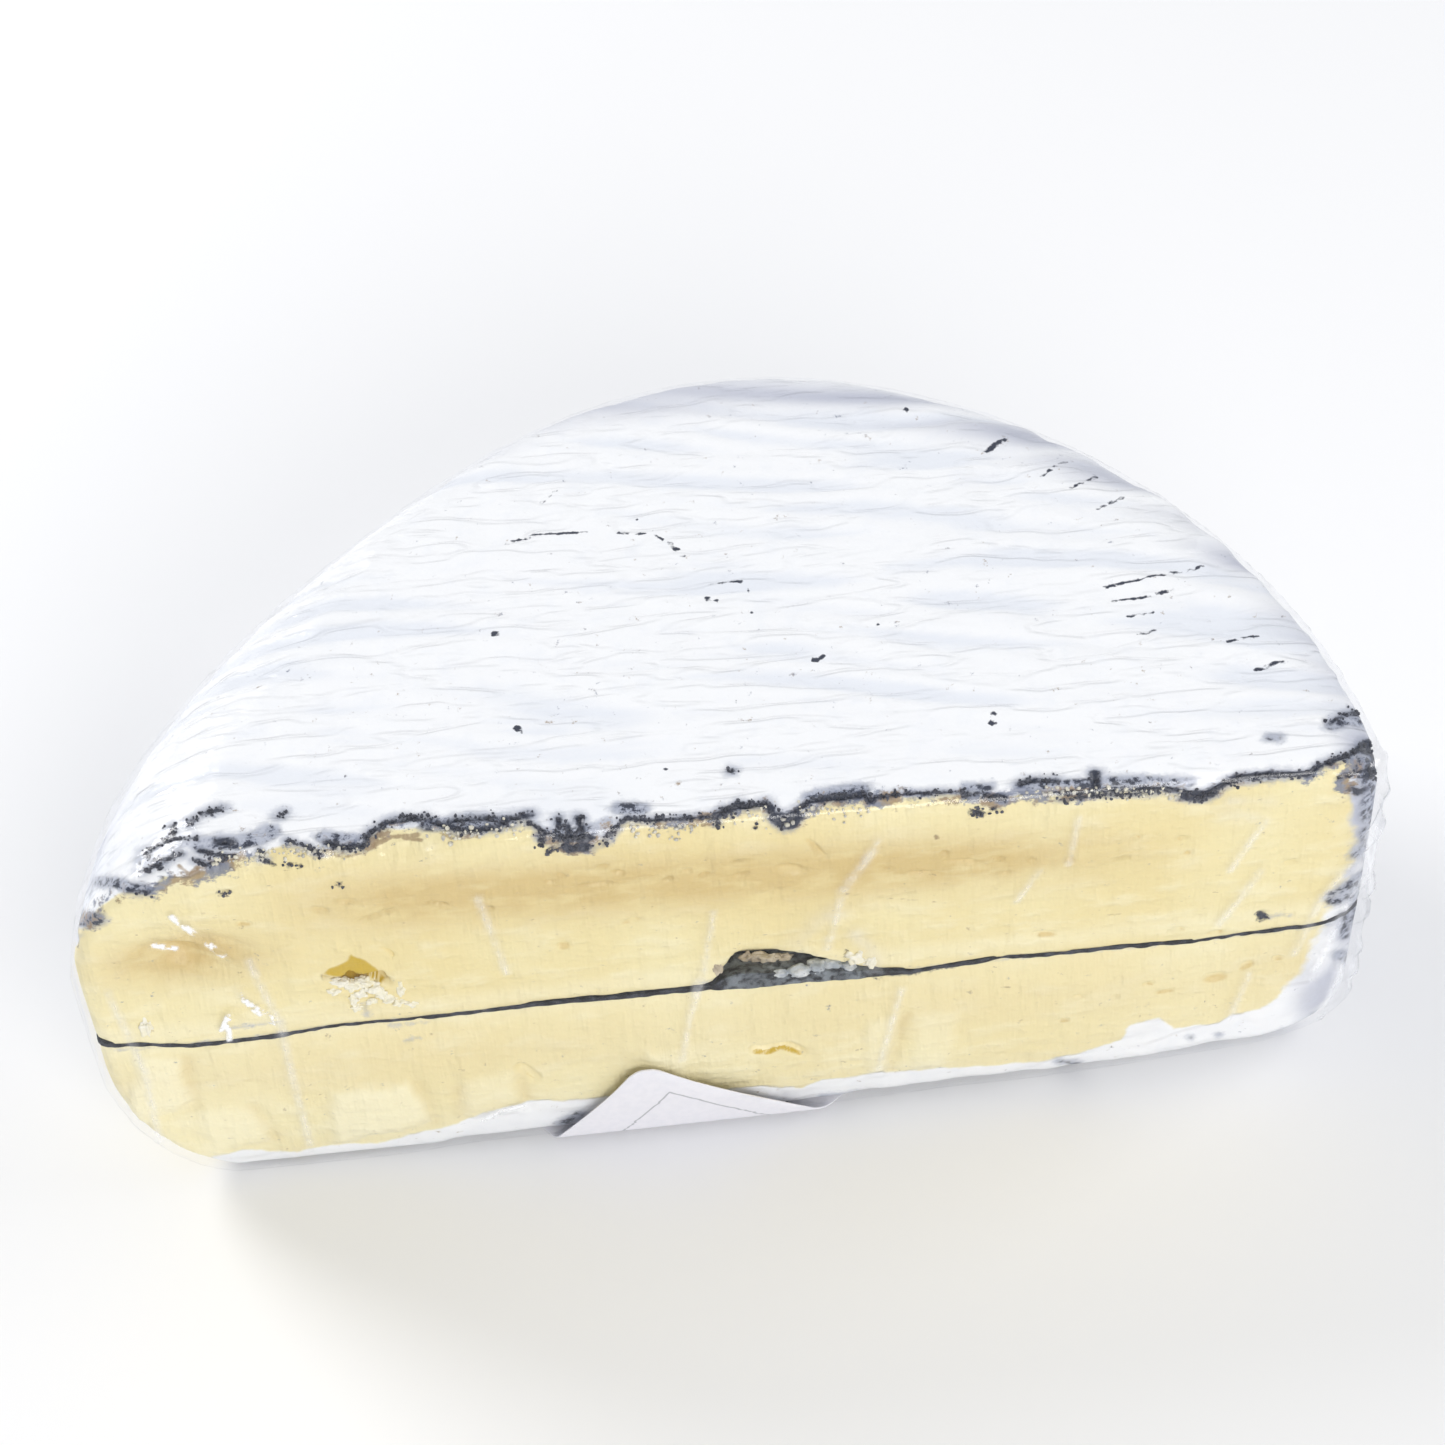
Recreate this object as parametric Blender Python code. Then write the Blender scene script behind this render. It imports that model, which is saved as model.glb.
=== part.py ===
import math

import bmesh
import bpy
from mathutils import Vector, noise

# Half of a soft white-rind cheese with an ash layer, cut through the middle, wrapped in clear film. Lengths in mm.
MM = 0.001
HALF_CUT = 103.0
HEIGHT = 74.4
TOP_LEAN = (-0.037, -0.019)
CENTRE_BEHIND = -1.2
OVAL = (0.013, -0.053, 0.075)
RIGHT_TRIM = 0.019
TOP_ROUND_IN = (22.0, 32.0, 7.0)
TOP_ROUND_DOWN = (3.6, 24.4, 13.0)
BASE_ROUND_IN = (13.4, 21.0)
BASE_ROUND_UP = (12.4, 28.8)
EDGE_TOP = 2.0
EDGE_TOP_LEFT = 3.4
EDGE_BASE = 2.2
EDGE_BASE_RIGHT = 8.0
CORNER_LEFT = (3.0, 2.5)
CORNER_RIGHT = (4.5, 4.0)
CORNER_RIGHT_BASE = (18.0, 5.0)
SWELL_LOWER = 2.4
SWELL_UPPER = 0.7

ASH_HEIGHT = 36.7
ASH_DROP = 2.0
ASH_THICK = 0.9
ASH_WAVE = 0.5
LAYER_GAP = 0.3

FILM_THICK = 0.35
FILM_GAP = 0.6
FILM_MOUTH = 0.09
INSET = FILM_THICK + FILM_GAP

GAP_X = (-5.0, 28.0)
GAP_RISE = 6.6
GAP_DEPTH = 8.0
HOLLOW = (-84.4, 53.5, 7.5, 5.5, 2.2)
DENT = (61.6, 38.5, 5.5, 8.0, 1.3)
TEAR = (-59.0, 50.6)

LABEL_CORNER = (-17.2, 23.2)
LABEL_SIDES = (50.0, 36.0)
LABEL_TURN = 36.0
LABEL_ROUND = 4.0
LABEL_THICK = 0.3
LABEL_GAP = 0.35
LABEL_LIFT = 1.3

CAP_CENTRE = (0.0, 46.0)
CHEESE_COUNTS = (40, 3, 36)
FILM_COUNTS = (12, 3, 36)


def smooth(low, high, value):
    share = min(1.0, max(0.0, (value - low) / (high - low)))
    return share * share * (3.0 - 2.0 * share)


def bump(value, width):
    return math.exp(-((value / width) ** 2))


def blend(sizes, left, back):
    """A size that goes from the right end's to the left end's, and to its own at the back."""
    ends = sizes[0] + (sizes[1] - sizes[0]) * left
    return ends + (sizes[-1] - ends) * back


def plan_radius(turn):
    once, twice, slanted = OVAL
    reach = once * math.cos(turn) + twice * math.cos(2.0 * turn) + slanted * math.sin(2.0 * turn)
    trim = RIGHT_TRIM * max(0.0, math.cos(turn)) ** 6
    return HALF_CUT * (1.0 + math.sin(turn) ** 2 * reach - trim)


def side_inset(turn, z):
    """How far the rounded shoulders draw the side in at this height."""
    left = (1.0 - math.cos(turn)) / 2.0
    back = math.sin(turn) ** 4
    top_in = blend(TOP_ROUND_IN, left, back)
    top_down = blend(TOP_ROUND_DOWN, left, back)
    base_in = BASE_ROUND_IN[0] + (BASE_ROUND_IN[1] - BASE_ROUND_IN[0]) * left
    base_up = BASE_ROUND_UP[0] + (BASE_ROUND_UP[1] - BASE_ROUND_UP[0]) * left
    drawn = 0.0
    if z < base_up:
        drawn += base_in * (1.0 - math.sqrt(max(0.0, 1.0 - ((base_up - z) / base_up) ** 2)))
    over = z - (HEIGHT - top_down)
    if over > 0.0:
        drawn += top_in * (1.0 - math.sqrt(max(0.0, 1.0 - (over / top_down) ** 2)))
    return drawn


def edge_radii(x):
    """The rounding of the cut's top and base edges along the cut."""
    left = smooth(-100.0, -84.0, x) * (1.0 - smooth(-52.0, -34.0, x))
    right = smooth(0.0, 95.0, x)
    return EDGE_TOP + EDGE_TOP_LEFT * left, EDGE_BASE + EDGE_BASE_RIGHT * right


def front_y(x, z):
    """The cut face: its edges rounded back, its layers swollen a little forwards."""
    top, base = edge_radii(x)
    y = 0.0
    if z > HEIGHT - top:
        y += top * (1.0 - math.sqrt(max(0.0, 1.0 - ((z - HEIGHT + top) / top) ** 2)))
    if z < base:
        y += base * (1.0 - math.sqrt(max(0.0, 1.0 - ((base - z) / base) ** 2)))
    middle = 1.0 - smooth(0.55, 0.95, abs(x) / HALF_CUT)
    if z < ASH_HEIGHT:
        swell = SWELL_LOWER * math.sin(math.pi * z / ASH_HEIGHT)
    else:
        swell = SWELL_UPPER * math.sin(math.pi * (z - ASH_HEIGHT) / (HEIGHT - ASH_HEIGHT))
    return y - swell * middle


def corner_sizes(z):
    low = max(0.0, 1.0 - z / HEIGHT) ** 1.6
    right = [CORNER_RIGHT[k] + CORNER_RIGHT_BASE[k] * low for k in (0, 1)]
    return CORNER_LEFT, right


def side_point(turn, z, inset):
    radius = plan_radius(turn) - side_inset(turn, z) - inset
    return radius * math.cos(turn), CENTRE_BEHIND + radius * math.sin(turn)


def ring(z, inset, counts):
    """One level of the cheese as a closed loop, from the cut's left end round by the right."""
    fronts, corners, arcs = counts
    true_z = min(HEIGHT, max(0.0, z))
    left_size, right_size = corner_sizes(true_z)
    ends = []
    for side, size in ((0.0, right_size), (math.pi, left_size)):
        depth = inset + size[1]
        turn = side
        for _ in range(4):
            radius = plan_radius(turn) - side_inset(turn, true_z) - inset
            lean = math.asin(min(1.0, (depth - CENTRE_BEHIND) / radius))
            turn = lean if side == 0.0 else math.pi - lean
        ends.append((turn, side_point(turn, true_z, inset)[0], depth, size))
    (turn_r, x_r, deep_r, size_r), (turn_l, x_l, deep_l, size_l) = ends
    loop = []
    start, stop = x_l + size_l[0], x_r - size_r[0]
    for i in range(fronts + 1):
        x = start + (stop - start) * i / fronts
        loop.append((x, inset + front_y(x, true_z), z))
    foot_r, foot_l = front_y(stop, true_z), front_y(start, true_z)
    for i in range(1, corners + 1):
        angle = math.pi / 2.0 * i / (corners + 1)
        y = deep_r + (inset + foot_r - deep_r) * math.cos(angle)
        loop.append((stop + size_r[0] * math.sin(angle), y, z))
    for i in range(arcs + 1):
        x, y = side_point(turn_r + (turn_l - turn_r) * i / arcs, true_z, inset)
        loop.append((x, y, z))
    for i in range(corners, 0, -1):
        angle = math.pi / 2.0 * i / (corners + 1)
        y = deep_l + (inset + foot_l - deep_l) * math.cos(angle)
        loop.append((start - size_l[0] * math.sin(angle), y, z))
    return loop


def leaned(point):
    """The top lies a little lower towards the right and the back."""
    x, y, z = point
    share = max(0.0, (z - ASH_HEIGHT) / (HEIGHT - ASH_HEIGHT))
    return x, y, z + share * (TOP_LEAN[0] * x + TOP_LEAN[1] * y)


def shrunk(loop, share):
    middle = CAP_CENTRE
    return [(middle[0] + (x - middle[0]) * share, middle[1] + (y - middle[1]) * share, z) for x, y, z in loop]


def base_lift(x, y):
    """The base stands a little off what it rests on where the label turns under it."""
    along = smooth(-58.0, -44.0, x) * (1.0 - smooth(36.0, 50.0, x))
    return LABEL_LIFT * along * (1.0 - smooth(44.0, 58.0, y))


def lifted(point):
    x, y, z = point
    return x, y, z + base_lift(x, y) * max(0.0, 1.0 - z / 16.0)


def ash_level(x, y):
    level = ASH_HEIGHT - ASH_DROP * smooth(0.0, 95.0, x)
    return level + ASH_WAVE * noise.noise(Vector((x * 0.03, y * 0.03, 3.1)))


def gap_rise(x, y):
    """The opening above the ash at the cut."""
    low, high = GAP_X
    if not low < x < high:
        return 0.0
    along = smooth(low, low + 5.0, x) * (1.0 - smooth(low + 7.0, high, x) ** 0.8)
    return GAP_RISE * along * (1.0 - smooth(2.5, GAP_DEPTH, y))


def top_relief(x, y):
    """Soft wrinkles, the knuckled right rim and the dent, as a depth under the smooth top."""
    drift = 2.2 * noise.noise(Vector((x * 0.021, y * 0.03, 0.4)))
    waves = 0.5 + 0.5 * math.sin(y * 0.52 + x * 0.06 + 2.6 * drift)
    depth = 0.5 * waves * (0.4 + 0.6 * smooth(4.0, 26.0, y))
    turn = math.atan2(y - CENTRE_BEHIND, x)
    rim = smooth(0.72, 0.9, math.hypot(x, y) / plan_radius(turn))
    knuckles = 0.5 + 0.5 * math.sin(turn * 27.0 + 1.4 * drift)
    depth += 1.0 * rim * knuckles * smooth(0.1, 0.3, turn) * (1.0 - smooth(1.0, 1.25, turn))
    x0, y0, wide, deep, amount = DENT
    return depth + amount * bump(x - x0, wide) * bump(y - y0, deep)


def face_relief(x, z):
    """Drag marks and the hollow in the cut face, as a depth behind it."""
    depth = 0.3 + 0.3 * noise.noise(Vector((x * 0.07, z * 0.16, 8.7)))
    x0, z0, wide, tall, amount = HOLLOW
    return depth + amount * bump(x - x0, wide) * bump(z - z0, tall)


def crumble(x):
    rough = noise.noise(Vector((x * 0.16, 1.7, 5.2))) + 0.5 * noise.noise(Vector((x * 0.41, 2.2, 0.6)))
    return min(2.1, max(0.0, 0.9 + 0.9 * rough))


def with_relief(point):
    """A cheese point moved in by its relief."""
    x, y, z = point
    near_cut = 1.0 - smooth(0.0, 5.0, y - INSET - front_y(x, z))
    y += near_cut * face_relief(x, z)
    edge = smooth(HEIGHT - 5.5, HEIGHT - 1.4, z) * near_cut
    y += edge * crumble(x)
    if z > HEIGHT - 4.0:
        z -= top_relief(x, y) * smooth(HEIGHT - 4.0, HEIGHT - 1.0, z)
    side = 1.0 - near_cut
    if side > 0.0 and z < HEIGHT - 1.0:
        turn = math.atan2(y - CENTRE_BEHIND, x)
        rough = 0.25 + 0.25 * noise.noise(Vector((6.0 * math.cos(turn), 6.0 * math.sin(turn), z * 0.07)))
        pull = 1.0 - side * rough / max(1.0, math.hypot(x, y))
        x, y = x * pull, y * pull
    return x, y, z


def loft(name, loops, first, last):
    """One closed body skinned over its loops, with a point at either end."""
    mesh = bmesh.new()
    rows = [[mesh.verts.new(Vector(point) * MM) for point in loop] for loop in loops]
    count = len(rows[0])
    for low, high in zip(rows, rows[1:]):
        for i in range(count):
            j = (i + 1) % count
            mesh.faces.new((low[i], low[j], high[j], high[i]))
    start = mesh.verts.new(Vector(first) * MM)
    end = mesh.verts.new(Vector(last) * MM)
    for i in range(count):
        j = (i + 1) % count
        mesh.faces.new((rows[0][j], rows[0][i], start))
        mesh.faces.new((rows[-1][i], rows[-1][j], end))
    data = bpy.data.meshes.new(name)
    mesh.to_mesh(data)
    mesh.free()
    data.shade_smooth()
    data.set_sharp_from_angle(angle=math.radians(42.0))
    made = bpy.data.objects.new(name, data)
    bpy.context.scene.collection.objects.link(made)
    return made


def paint(obj, colour, roughness, alpha=1.0):
    material = bpy.data.materials.new(obj.name)
    material.use_nodes = True
    shader = material.node_tree.nodes["Principled BSDF"]
    shader.inputs["Base Color"].default_value = (*colour, 1.0)
    shader.inputs["Roughness"].default_value = roughness
    shader.inputs["Alpha"].default_value = alpha
    obj.data.materials.append(material)


def cheese_ring(z):
    return [with_relief(point) for point in ring(z, INSET, CHEESE_COUNTS)]


def capped(loop, shares, height_at):
    """Rings that close a layer towards its middle, on a surface that waves."""
    rows = []
    for share in shares:
        rows.append([(x, y, height_at(x, y)) for x, y, _ in shrunk(loop, share)])
    return rows


def build_lower():
    under = ASH_THICK / 2.0 + LAYER_GAP
    heights = [INSET, INSET + 0.35, INSET + 1.4, INSET + 3.4, 7.2, 11.5, 17.0, 23.0, 29.0]
    sides = [[lifted(point) for point in cheese_ring(z)] for z in heights]
    base_loop = cheese_ring(INSET)
    base = []
    for share in (0.3, 0.55, 0.78, 0.93):
        base.append([lifted(point) for point in shrunk(base_loop, share)])
    rim = [(x, y, ash_level(x, y) - under) for x, y, _ in cheese_ring(ASH_HEIGHT - under)]
    closing = capped(rim, (0.72, 0.36), lambda x, y: ash_level(x, y) - under)
    first = lifted((*CAP_CENTRE, INSET))
    last = (*CAP_CENTRE, ash_level(*CAP_CENTRE) - under)
    return loft("lower_layer", base + sides + [rim] + closing, first, last)


def build_ash():
    half = ASH_THICK / 2.0
    drawn = [(x, y + 0.2, z) for x, y, z in cheese_ring(ASH_HEIGHT)]

    def under(x, y):
        return ash_level(x, y) - half

    def over(x, y):
        return ash_level(x, y) + half + 0.28 * gap_rise(x, y)

    low = capped(drawn, (0.5, 1.0), under)
    high = capped(drawn, (1.0, 0.965, 0.92, 0.86, 0.5), over)
    return loft("ash_line", low + high, (*CAP_CENTRE, under(*CAP_CENTRE)), (*CAP_CENTRE, over(*CAP_CENTRE)))


def build_upper():
    above = ASH_THICK / 2.0 + LAYER_GAP

    def floor(x, y):
        return ash_level(x, y) + above + gap_rise(x, y)

    rim = [(x, y, floor(x, y)) for x, y, _ in cheese_ring(ASH_HEIGHT + above)]
    closing = capped(rim, (0.45, 0.8, 0.87, 0.92, 0.96), floor)
    heights = [43.5, 48.0, 53.0, 58.5, 62.8]
    heights += [HEIGHT - drop for drop in (8.2, 5.4, 3.5, 2.2, 1.3, INSET)]
    sides = [[leaned(point) for point in cheese_ring(z)] for z in heights]
    bare = ring(HEIGHT - INSET, INSET, CHEESE_COUNTS)
    top = []
    for share in (0.965, 0.92, 0.86, 0.78, 0.68, 0.57, 0.44, 0.3, 0.15):
        row = []
        kept = max(0.0, 1.0 - (1.0 - share) / 0.11)
        for x, y, z in shrunk(bare, share):
            y += crumble(x) * kept * (1.0 - smooth(3.0, 14.0, y))
            row.append(leaned((x, y, z - top_relief(x, y))))
        top.append(row)
    first = (*CAP_CENTRE, floor(*CAP_CENTRE))
    last = leaned((*CAP_CENTRE, HEIGHT - INSET - top_relief(*CAP_CENTRE)))
    return loft("upper_layer", closing + [rim] + sides + top, first, last)


def tear(upper):
    """The torn pit in the cut face of the upper layer."""
    mesh = bmesh.new()
    bmesh.ops.create_icosphere(mesh, subdivisions=3, radius=1.0)
    for vert in mesh.verts:
        rough = 1.0 + 0.28 * noise.noise(vert.co * 1.9 + Vector((4.0, 1.0, 7.0)))
        vert.co = Vector((vert.co.x * 6.0, vert.co.y * 6.5, vert.co.z * 3.4)) * rough * MM
        vert.co.z -= 0.05 * abs(vert.co.x)
    data = bpy.data.meshes.new("tear_cutter")
    mesh.to_mesh(data)
    mesh.free()
    cutter = bpy.data.objects.new("tear_cutter", data)
    bpy.context.scene.collection.objects.link(cutter)
    cutter.location = Vector((TEAR[0], INSET + 0.4, TEAR[1])) * MM
    cutter.rotation_euler = (0.0, math.radians(-8.0), 0.0)
    cutter.hide_render = True
    cutter.display_type = "WIRE"
    cut = upper.modifiers.new("tear", "BOOLEAN")
    cut.operation = "DIFFERENCE"
    cut.object = cutter
    cut.solver = "EXACT"
    return cutter


def film_rings(inset):
    span = HEIGHT - 2.0 * inset
    shares = (0.0, 0.005, 0.019, 0.045, 0.1, 0.19, 0.32, 0.49, 0.67, 0.8, 0.88, 0.94, 0.966, 0.983, 0.994, 1.0)
    sides = [ring(inset + span * share, inset, FILM_COUNTS) for share in shares]
    base = [shrunk(sides[0], share) for share in (FILM_MOUTH, 0.3, 0.55, 0.78, 0.93)]
    top = [shrunk(sides[-1], share) for share in (0.7, 0.35)]
    return [[leaned(lifted(point)) for point in loop] for loop in base + sides + top]


def build_film():
    inner = film_rings(FILM_THICK)
    outer = film_rings(0.0)
    first = leaned((*CAP_CENTRE, HEIGHT - FILM_THICK))
    last = leaned((*CAP_CENTRE, HEIGHT))
    return loft("film_wrap", inner[::-1] + outer, first, last)


def front_y_bare(x, z):
    """The base edge's rounding alone, which the label's own path already follows."""
    _, base = edge_radii(x)
    if z >= base:
        return 0.0
    return base * (1.0 - math.sqrt(max(0.0, 1.0 - ((base - z) / base) ** 2)))


def label_place(x, along, off):
    """A point of the label: up the cut face, round its base edge and on beneath, this far off the film."""
    _, radius = edge_radii(x)
    quarter = radius * math.pi / 2.0
    if along <= 0.0:
        y, z = radius - along, 0.0
        return x, y, z + base_lift(x, y) - off
    if along < quarter:
        angle = along / radius
        y, z = radius - radius * math.sin(angle), radius - radius * math.cos(angle)
        normal_y, normal_z = -math.sin(angle), -math.cos(angle)
    else:
        z = radius + along - quarter
        y, normal_y, normal_z = 0.0, -1.0, 0.0
    y += front_y(x, z) - front_y_bare(x, z)
    z += base_lift(x, y) * max(0.0, 1.0 - z / 16.0)
    return x, y + off * normal_y, z + off * normal_z


def label_outline():
    """The label's rounded rectangle, unrolled: x along the cut and the length up the film from the base."""
    wide, tall = LABEL_SIDES
    turn = math.radians(LABEL_TURN)
    along_top = Vector((math.cos(turn), -math.sin(turn)))
    down_left = Vector((-math.sin(turn), -math.cos(turn)))
    points = []
    near, far_u, far_v = LABEL_ROUND, wide - LABEL_ROUND, tall - LABEL_ROUND
    for k, (u, v) in enumerate(((near, near), (far_u, near), (far_u, far_v), (near, far_v))):
        for i in range(9):
            angle = math.radians(180.0 + 90.0 * k + 90.0 * i / 8)
            spot_u, spot_v = u + LABEL_ROUND * math.cos(angle), v + LABEL_ROUND * math.sin(angle)
            points.append(Vector(LABEL_CORNER) + along_top * spot_u + down_left * spot_v)
    return points


def label_span(points, along):
    """Where a line at this length up the film enters and leaves the label."""
    found = []
    for start, stop in zip(points, points[1:] + points[:1]):
        if (start.y - along) * (stop.y - along) < 0.0:
            share = (along - start.y) / (stop.y - start.y)
            found.append(start.x + share * (stop.x - start.x))
    return min(found), max(found)


def label_levels(points):
    low, high = min(point.y for point in points), max(point.y for point in points)
    quarter = (EDGE_BASE + EDGE_BASE_RIGHT * 0.2) * math.pi / 2.0
    levels = [low + step for step in (0.1, 0.5, 1.3, 2.6, 4.4)]
    levels += [high - step for step in (4.4, 2.6, 1.3, 0.5, 0.1)]
    stretches = ((low + 4.4, -14.0, 4), (-14.0, 0.0, 11), (0.0, quarter, 9), (quarter, high - 4.4, 4))
    for start, stop, count in stretches:
        levels += [start + (stop - start) * i / count for i in range(1, count)]
    levels += [-14.0, 0.0, quarter]
    return sorted(levels)


def build_label():
    columns = 6
    points = label_outline()
    levels = label_levels(points)
    mesh = bmesh.new()
    sheets = []
    for off in (LABEL_GAP, LABEL_GAP + LABEL_THICK):
        sheet = []
        for along in levels:
            low, high = label_span(points, along)
            line = []
            for i in range(columns + 1):
                place = label_place(low + (high - low) * i / columns, along, off)
                line.append(mesh.verts.new(Vector(place) * MM))
            sheet.append(line)
        sheets.append(sheet)
    inner, outer = sheets
    rows = len(levels) - 1
    for j in range(rows):
        for i in range(columns):
            mesh.faces.new((outer[j][i], outer[j][i + 1], outer[j + 1][i + 1], outer[j + 1][i]))
            mesh.faces.new((inner[j][i], inner[j + 1][i], inner[j + 1][i + 1], inner[j][i + 1]))
    border = [(0, i) for i in range(columns)] + [(j, columns) for j in range(rows)]
    border += [(rows, i) for i in range(columns, 0, -1)] + [(j, 0) for j in range(rows, 0, -1)]
    for (j, i), (jn, n) in zip(border, border[1:] + border[:1]):
        mesh.faces.new((outer[jn][n], outer[j][i], inner[j][i], inner[jn][n]))
    bmesh.ops.recalc_face_normals(mesh, faces=mesh.faces)
    data = bpy.data.meshes.new("label")
    mesh.to_mesh(data)
    mesh.free()
    made = bpy.data.objects.new("label", data)
    bpy.context.scene.collection.objects.link(made)
    return made


def main():
    for obj in list(bpy.data.objects):
        bpy.data.objects.remove(obj, do_unlink=True)
    lower = build_lower()
    ash = build_ash()
    upper = build_upper()
    cutter = tear(upper)
    film = build_film()
    label = build_label()
    paint(lower, (0.86, 0.76, 0.47), 0.5)
    paint(ash, (0.03, 0.035, 0.05), 0.8)
    paint(upper, (0.88, 0.82, 0.64), 0.55)
    paint(film, (0.95, 0.96, 1.0), 0.08, 0.1)
    paint(label, (0.9, 0.9, 0.93), 0.6)
    xs = [vert.co.x for vert in film.data.vertices]
    ys = [vert.co.y for vert in film.data.vertices] + [vert.co.y for vert in label.data.vertices]
    middle = Vector(((min(xs) + max(xs)) / 2.0, (min(ys) + max(ys)) / 2.0, 0.0))
    for obj in (lower, ash, upper, cutter, film, label):
        obj.location -= middle


main()
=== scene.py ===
import math
import random

import bpy
import numpy as np
from mathutils import Matrix, Vector, noise
from mathutils.bvhtree import BVHTree


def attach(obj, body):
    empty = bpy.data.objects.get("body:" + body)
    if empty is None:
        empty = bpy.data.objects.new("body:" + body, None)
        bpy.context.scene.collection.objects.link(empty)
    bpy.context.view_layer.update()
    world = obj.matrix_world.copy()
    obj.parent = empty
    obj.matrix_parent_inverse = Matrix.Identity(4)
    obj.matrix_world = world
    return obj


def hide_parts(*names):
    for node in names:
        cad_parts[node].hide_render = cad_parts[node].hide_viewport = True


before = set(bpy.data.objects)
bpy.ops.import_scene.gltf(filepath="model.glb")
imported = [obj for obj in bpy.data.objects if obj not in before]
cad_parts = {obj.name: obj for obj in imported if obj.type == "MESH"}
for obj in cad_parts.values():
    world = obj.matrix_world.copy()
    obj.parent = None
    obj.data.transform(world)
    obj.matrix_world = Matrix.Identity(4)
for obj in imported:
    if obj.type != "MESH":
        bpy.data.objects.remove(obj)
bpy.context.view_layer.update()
scene = bpy.context.scene
print("frame loaded")

# Places below are in mm from the middle of the cut: x along it, y behind it, z up.
cutMiddle = np.array((1.0054, -52.5314, 0.0))

shotLook = {
    "turn": -0.0239,  # radians round the object
    "rise": 0.836,  # radians above the horizon
    "roll": -0.0889,
    "away": 562.0,
    "aim": (0.0, 36.05, 30.9),
    "lens": 84.71,
    "shiftUp": 0.0782,
}


def viewBasis():
    turn, rise, roll = shotLook["turn"], shotLook["rise"], shotLook["roll"]
    back = Vector((math.sin(turn) * math.cos(rise), -math.cos(turn) * math.cos(rise), math.sin(rise)))
    right = (-back).cross(Vector((0, 0, 1))).normalized()
    up = right.cross(-back)
    tilted = math.cos(roll) * right + math.sin(roll) * up
    upright = -math.sin(roll) * right + math.cos(roll) * up
    return tilted, upright, back


eyeSpot = Vector(shotLook["aim"]) + viewBasis()[2] * shotLook["away"]


def makeActive(piece):
    if bpy.context.mode != "OBJECT":
        bpy.ops.object.mode_set(mode="OBJECT")
    bpy.ops.object.select_all(action="DESELECT")
    piece.select_set(True)
    bpy.context.view_layer.objects.active = piece


def applyModifier(piece, kind, **values):
    step = piece.modifiers.new(kind.lower(), kind)
    for name, value in values.items():
        setattr(step, name, value)
    makeActive(piece)
    bpy.ops.object.modifier_apply(modifier=step.name)


def copyOfNode(nodeName, pieceName):
    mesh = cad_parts[nodeName].data.copy()
    mesh.name = pieceName
    mesh.materials.clear()
    piece = bpy.data.objects.new(pieceName, mesh)
    scene.collection.objects.link(piece)
    makeActive(piece)
    if mesh.has_custom_normals:
        bpy.ops.mesh.customdata_custom_splitnormals_clear()
    bpy.ops.object.mode_set(mode="EDIT")
    bpy.ops.mesh.select_all(action="SELECT")
    bpy.ops.mesh.remove_doubles(threshold=0.00001)
    bpy.ops.object.mode_set(mode="OBJECT")
    return piece


def readValues(items, name, wide):
    values = np.empty(len(items) * wide, np.float32)
    items.foreach_get(name, values)
    return values.reshape(-1, wide).astype(float)


def spotsOf(piece):
    return readValues(piece.data.vertices, "co", 3) * 1000.0 - cutMiddle


def setSpots(piece, spots):
    piece.data.vertices.foreach_set("co", ((spots + cutMiddle) / 1000.0).astype(np.float32).ravel())
    piece.data.update()


def normalsOf(piece):
    return readValues(piece.data.vertex_normals, "vector", 3)


def facesOf(piece):
    centres = readValues(piece.data.polygons, "center", 3) * 1000.0 - cutMiddle
    return centres, readValues(piece.data.polygons, "normal", 3)


def selectFaces(piece, wanted):
    makeActive(piece)
    mesh = piece.data
    mesh.vertices.foreach_set("select", np.zeros(len(mesh.vertices), bool))
    mesh.edges.foreach_set("select", np.zeros(len(mesh.edges), bool))
    mesh.polygons.foreach_set("select", wanted)
    bpy.context.tool_settings.mesh_select_mode = (False, False, True)
    bpy.ops.object.mode_set(mode="EDIT")


def splitFaces(piece, cuts, wanted=None):
    selectFaces(piece, np.ones(len(piece.data.polygons), bool) if wanted is None else wanted)
    bpy.ops.mesh.subdivide(number_cuts=cuts)
    bpy.ops.object.mode_set(mode="OBJECT")


def smoothStep(low, high, values):
    share = np.clip((values - low) / (high - low), 0.0, 1.0)
    return share * share * (3.0 - 2.0 * share)


def fade(low, high, values):
    return 1.0 - smoothStep(low, high, values)


def rough(spots, scale, seed=0.0):
    sx, sy, sz = scale
    return np.array([noise.noise(Vector((x * sx + seed, y * sy, z * sz))) for x, y, z in spots])


# Where a spot shows on the plane of the cut, as seen from the camera's place.
def onCutPlane(spots):
    share = -eyeSpot.y / (spots[:, 1] - eyeSpot.y)
    return eyeSpot.x + (spots[:, 0] - eyeSpot.x) * share, eyeSpot.z + (spots[:, 2] - eyeSpot.z) * share


def nearLine(across, climb, points):
    nearest = np.full(len(across), 1e6)
    for (x0, z0), (x1, z1) in zip(points, points[1:] or points):
        dx, dz = x1 - x0, z1 - z0
        share = ((across - x0) * dx + (climb - z0) * dz) / max(dx * dx + dz * dz, 1e-9)
        share = np.clip(share, 0.0, 1.0)
        nearest = np.minimum(nearest, np.hypot(across - x0 - share * dx, climb - z0 - share * dz))
    return nearest


# How deep in mm a spot lies inside the nearest stroke, below zero outside it.
def reachOf(across, climb, strokes):
    reach = np.full(len(across), -3.0)
    for half, points in strokes:
        reach = np.maximum(reach, half - nearLine(across, climb, points))
    return reach


def softStrokes(across, climb, strokes):
    strength = np.zeros(len(across))
    for half, points in strokes:
        strength = np.maximum(strength, np.exp(-((nearLine(across, climb, points) / (half * 1.5)) ** 2)))
    return strength


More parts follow.
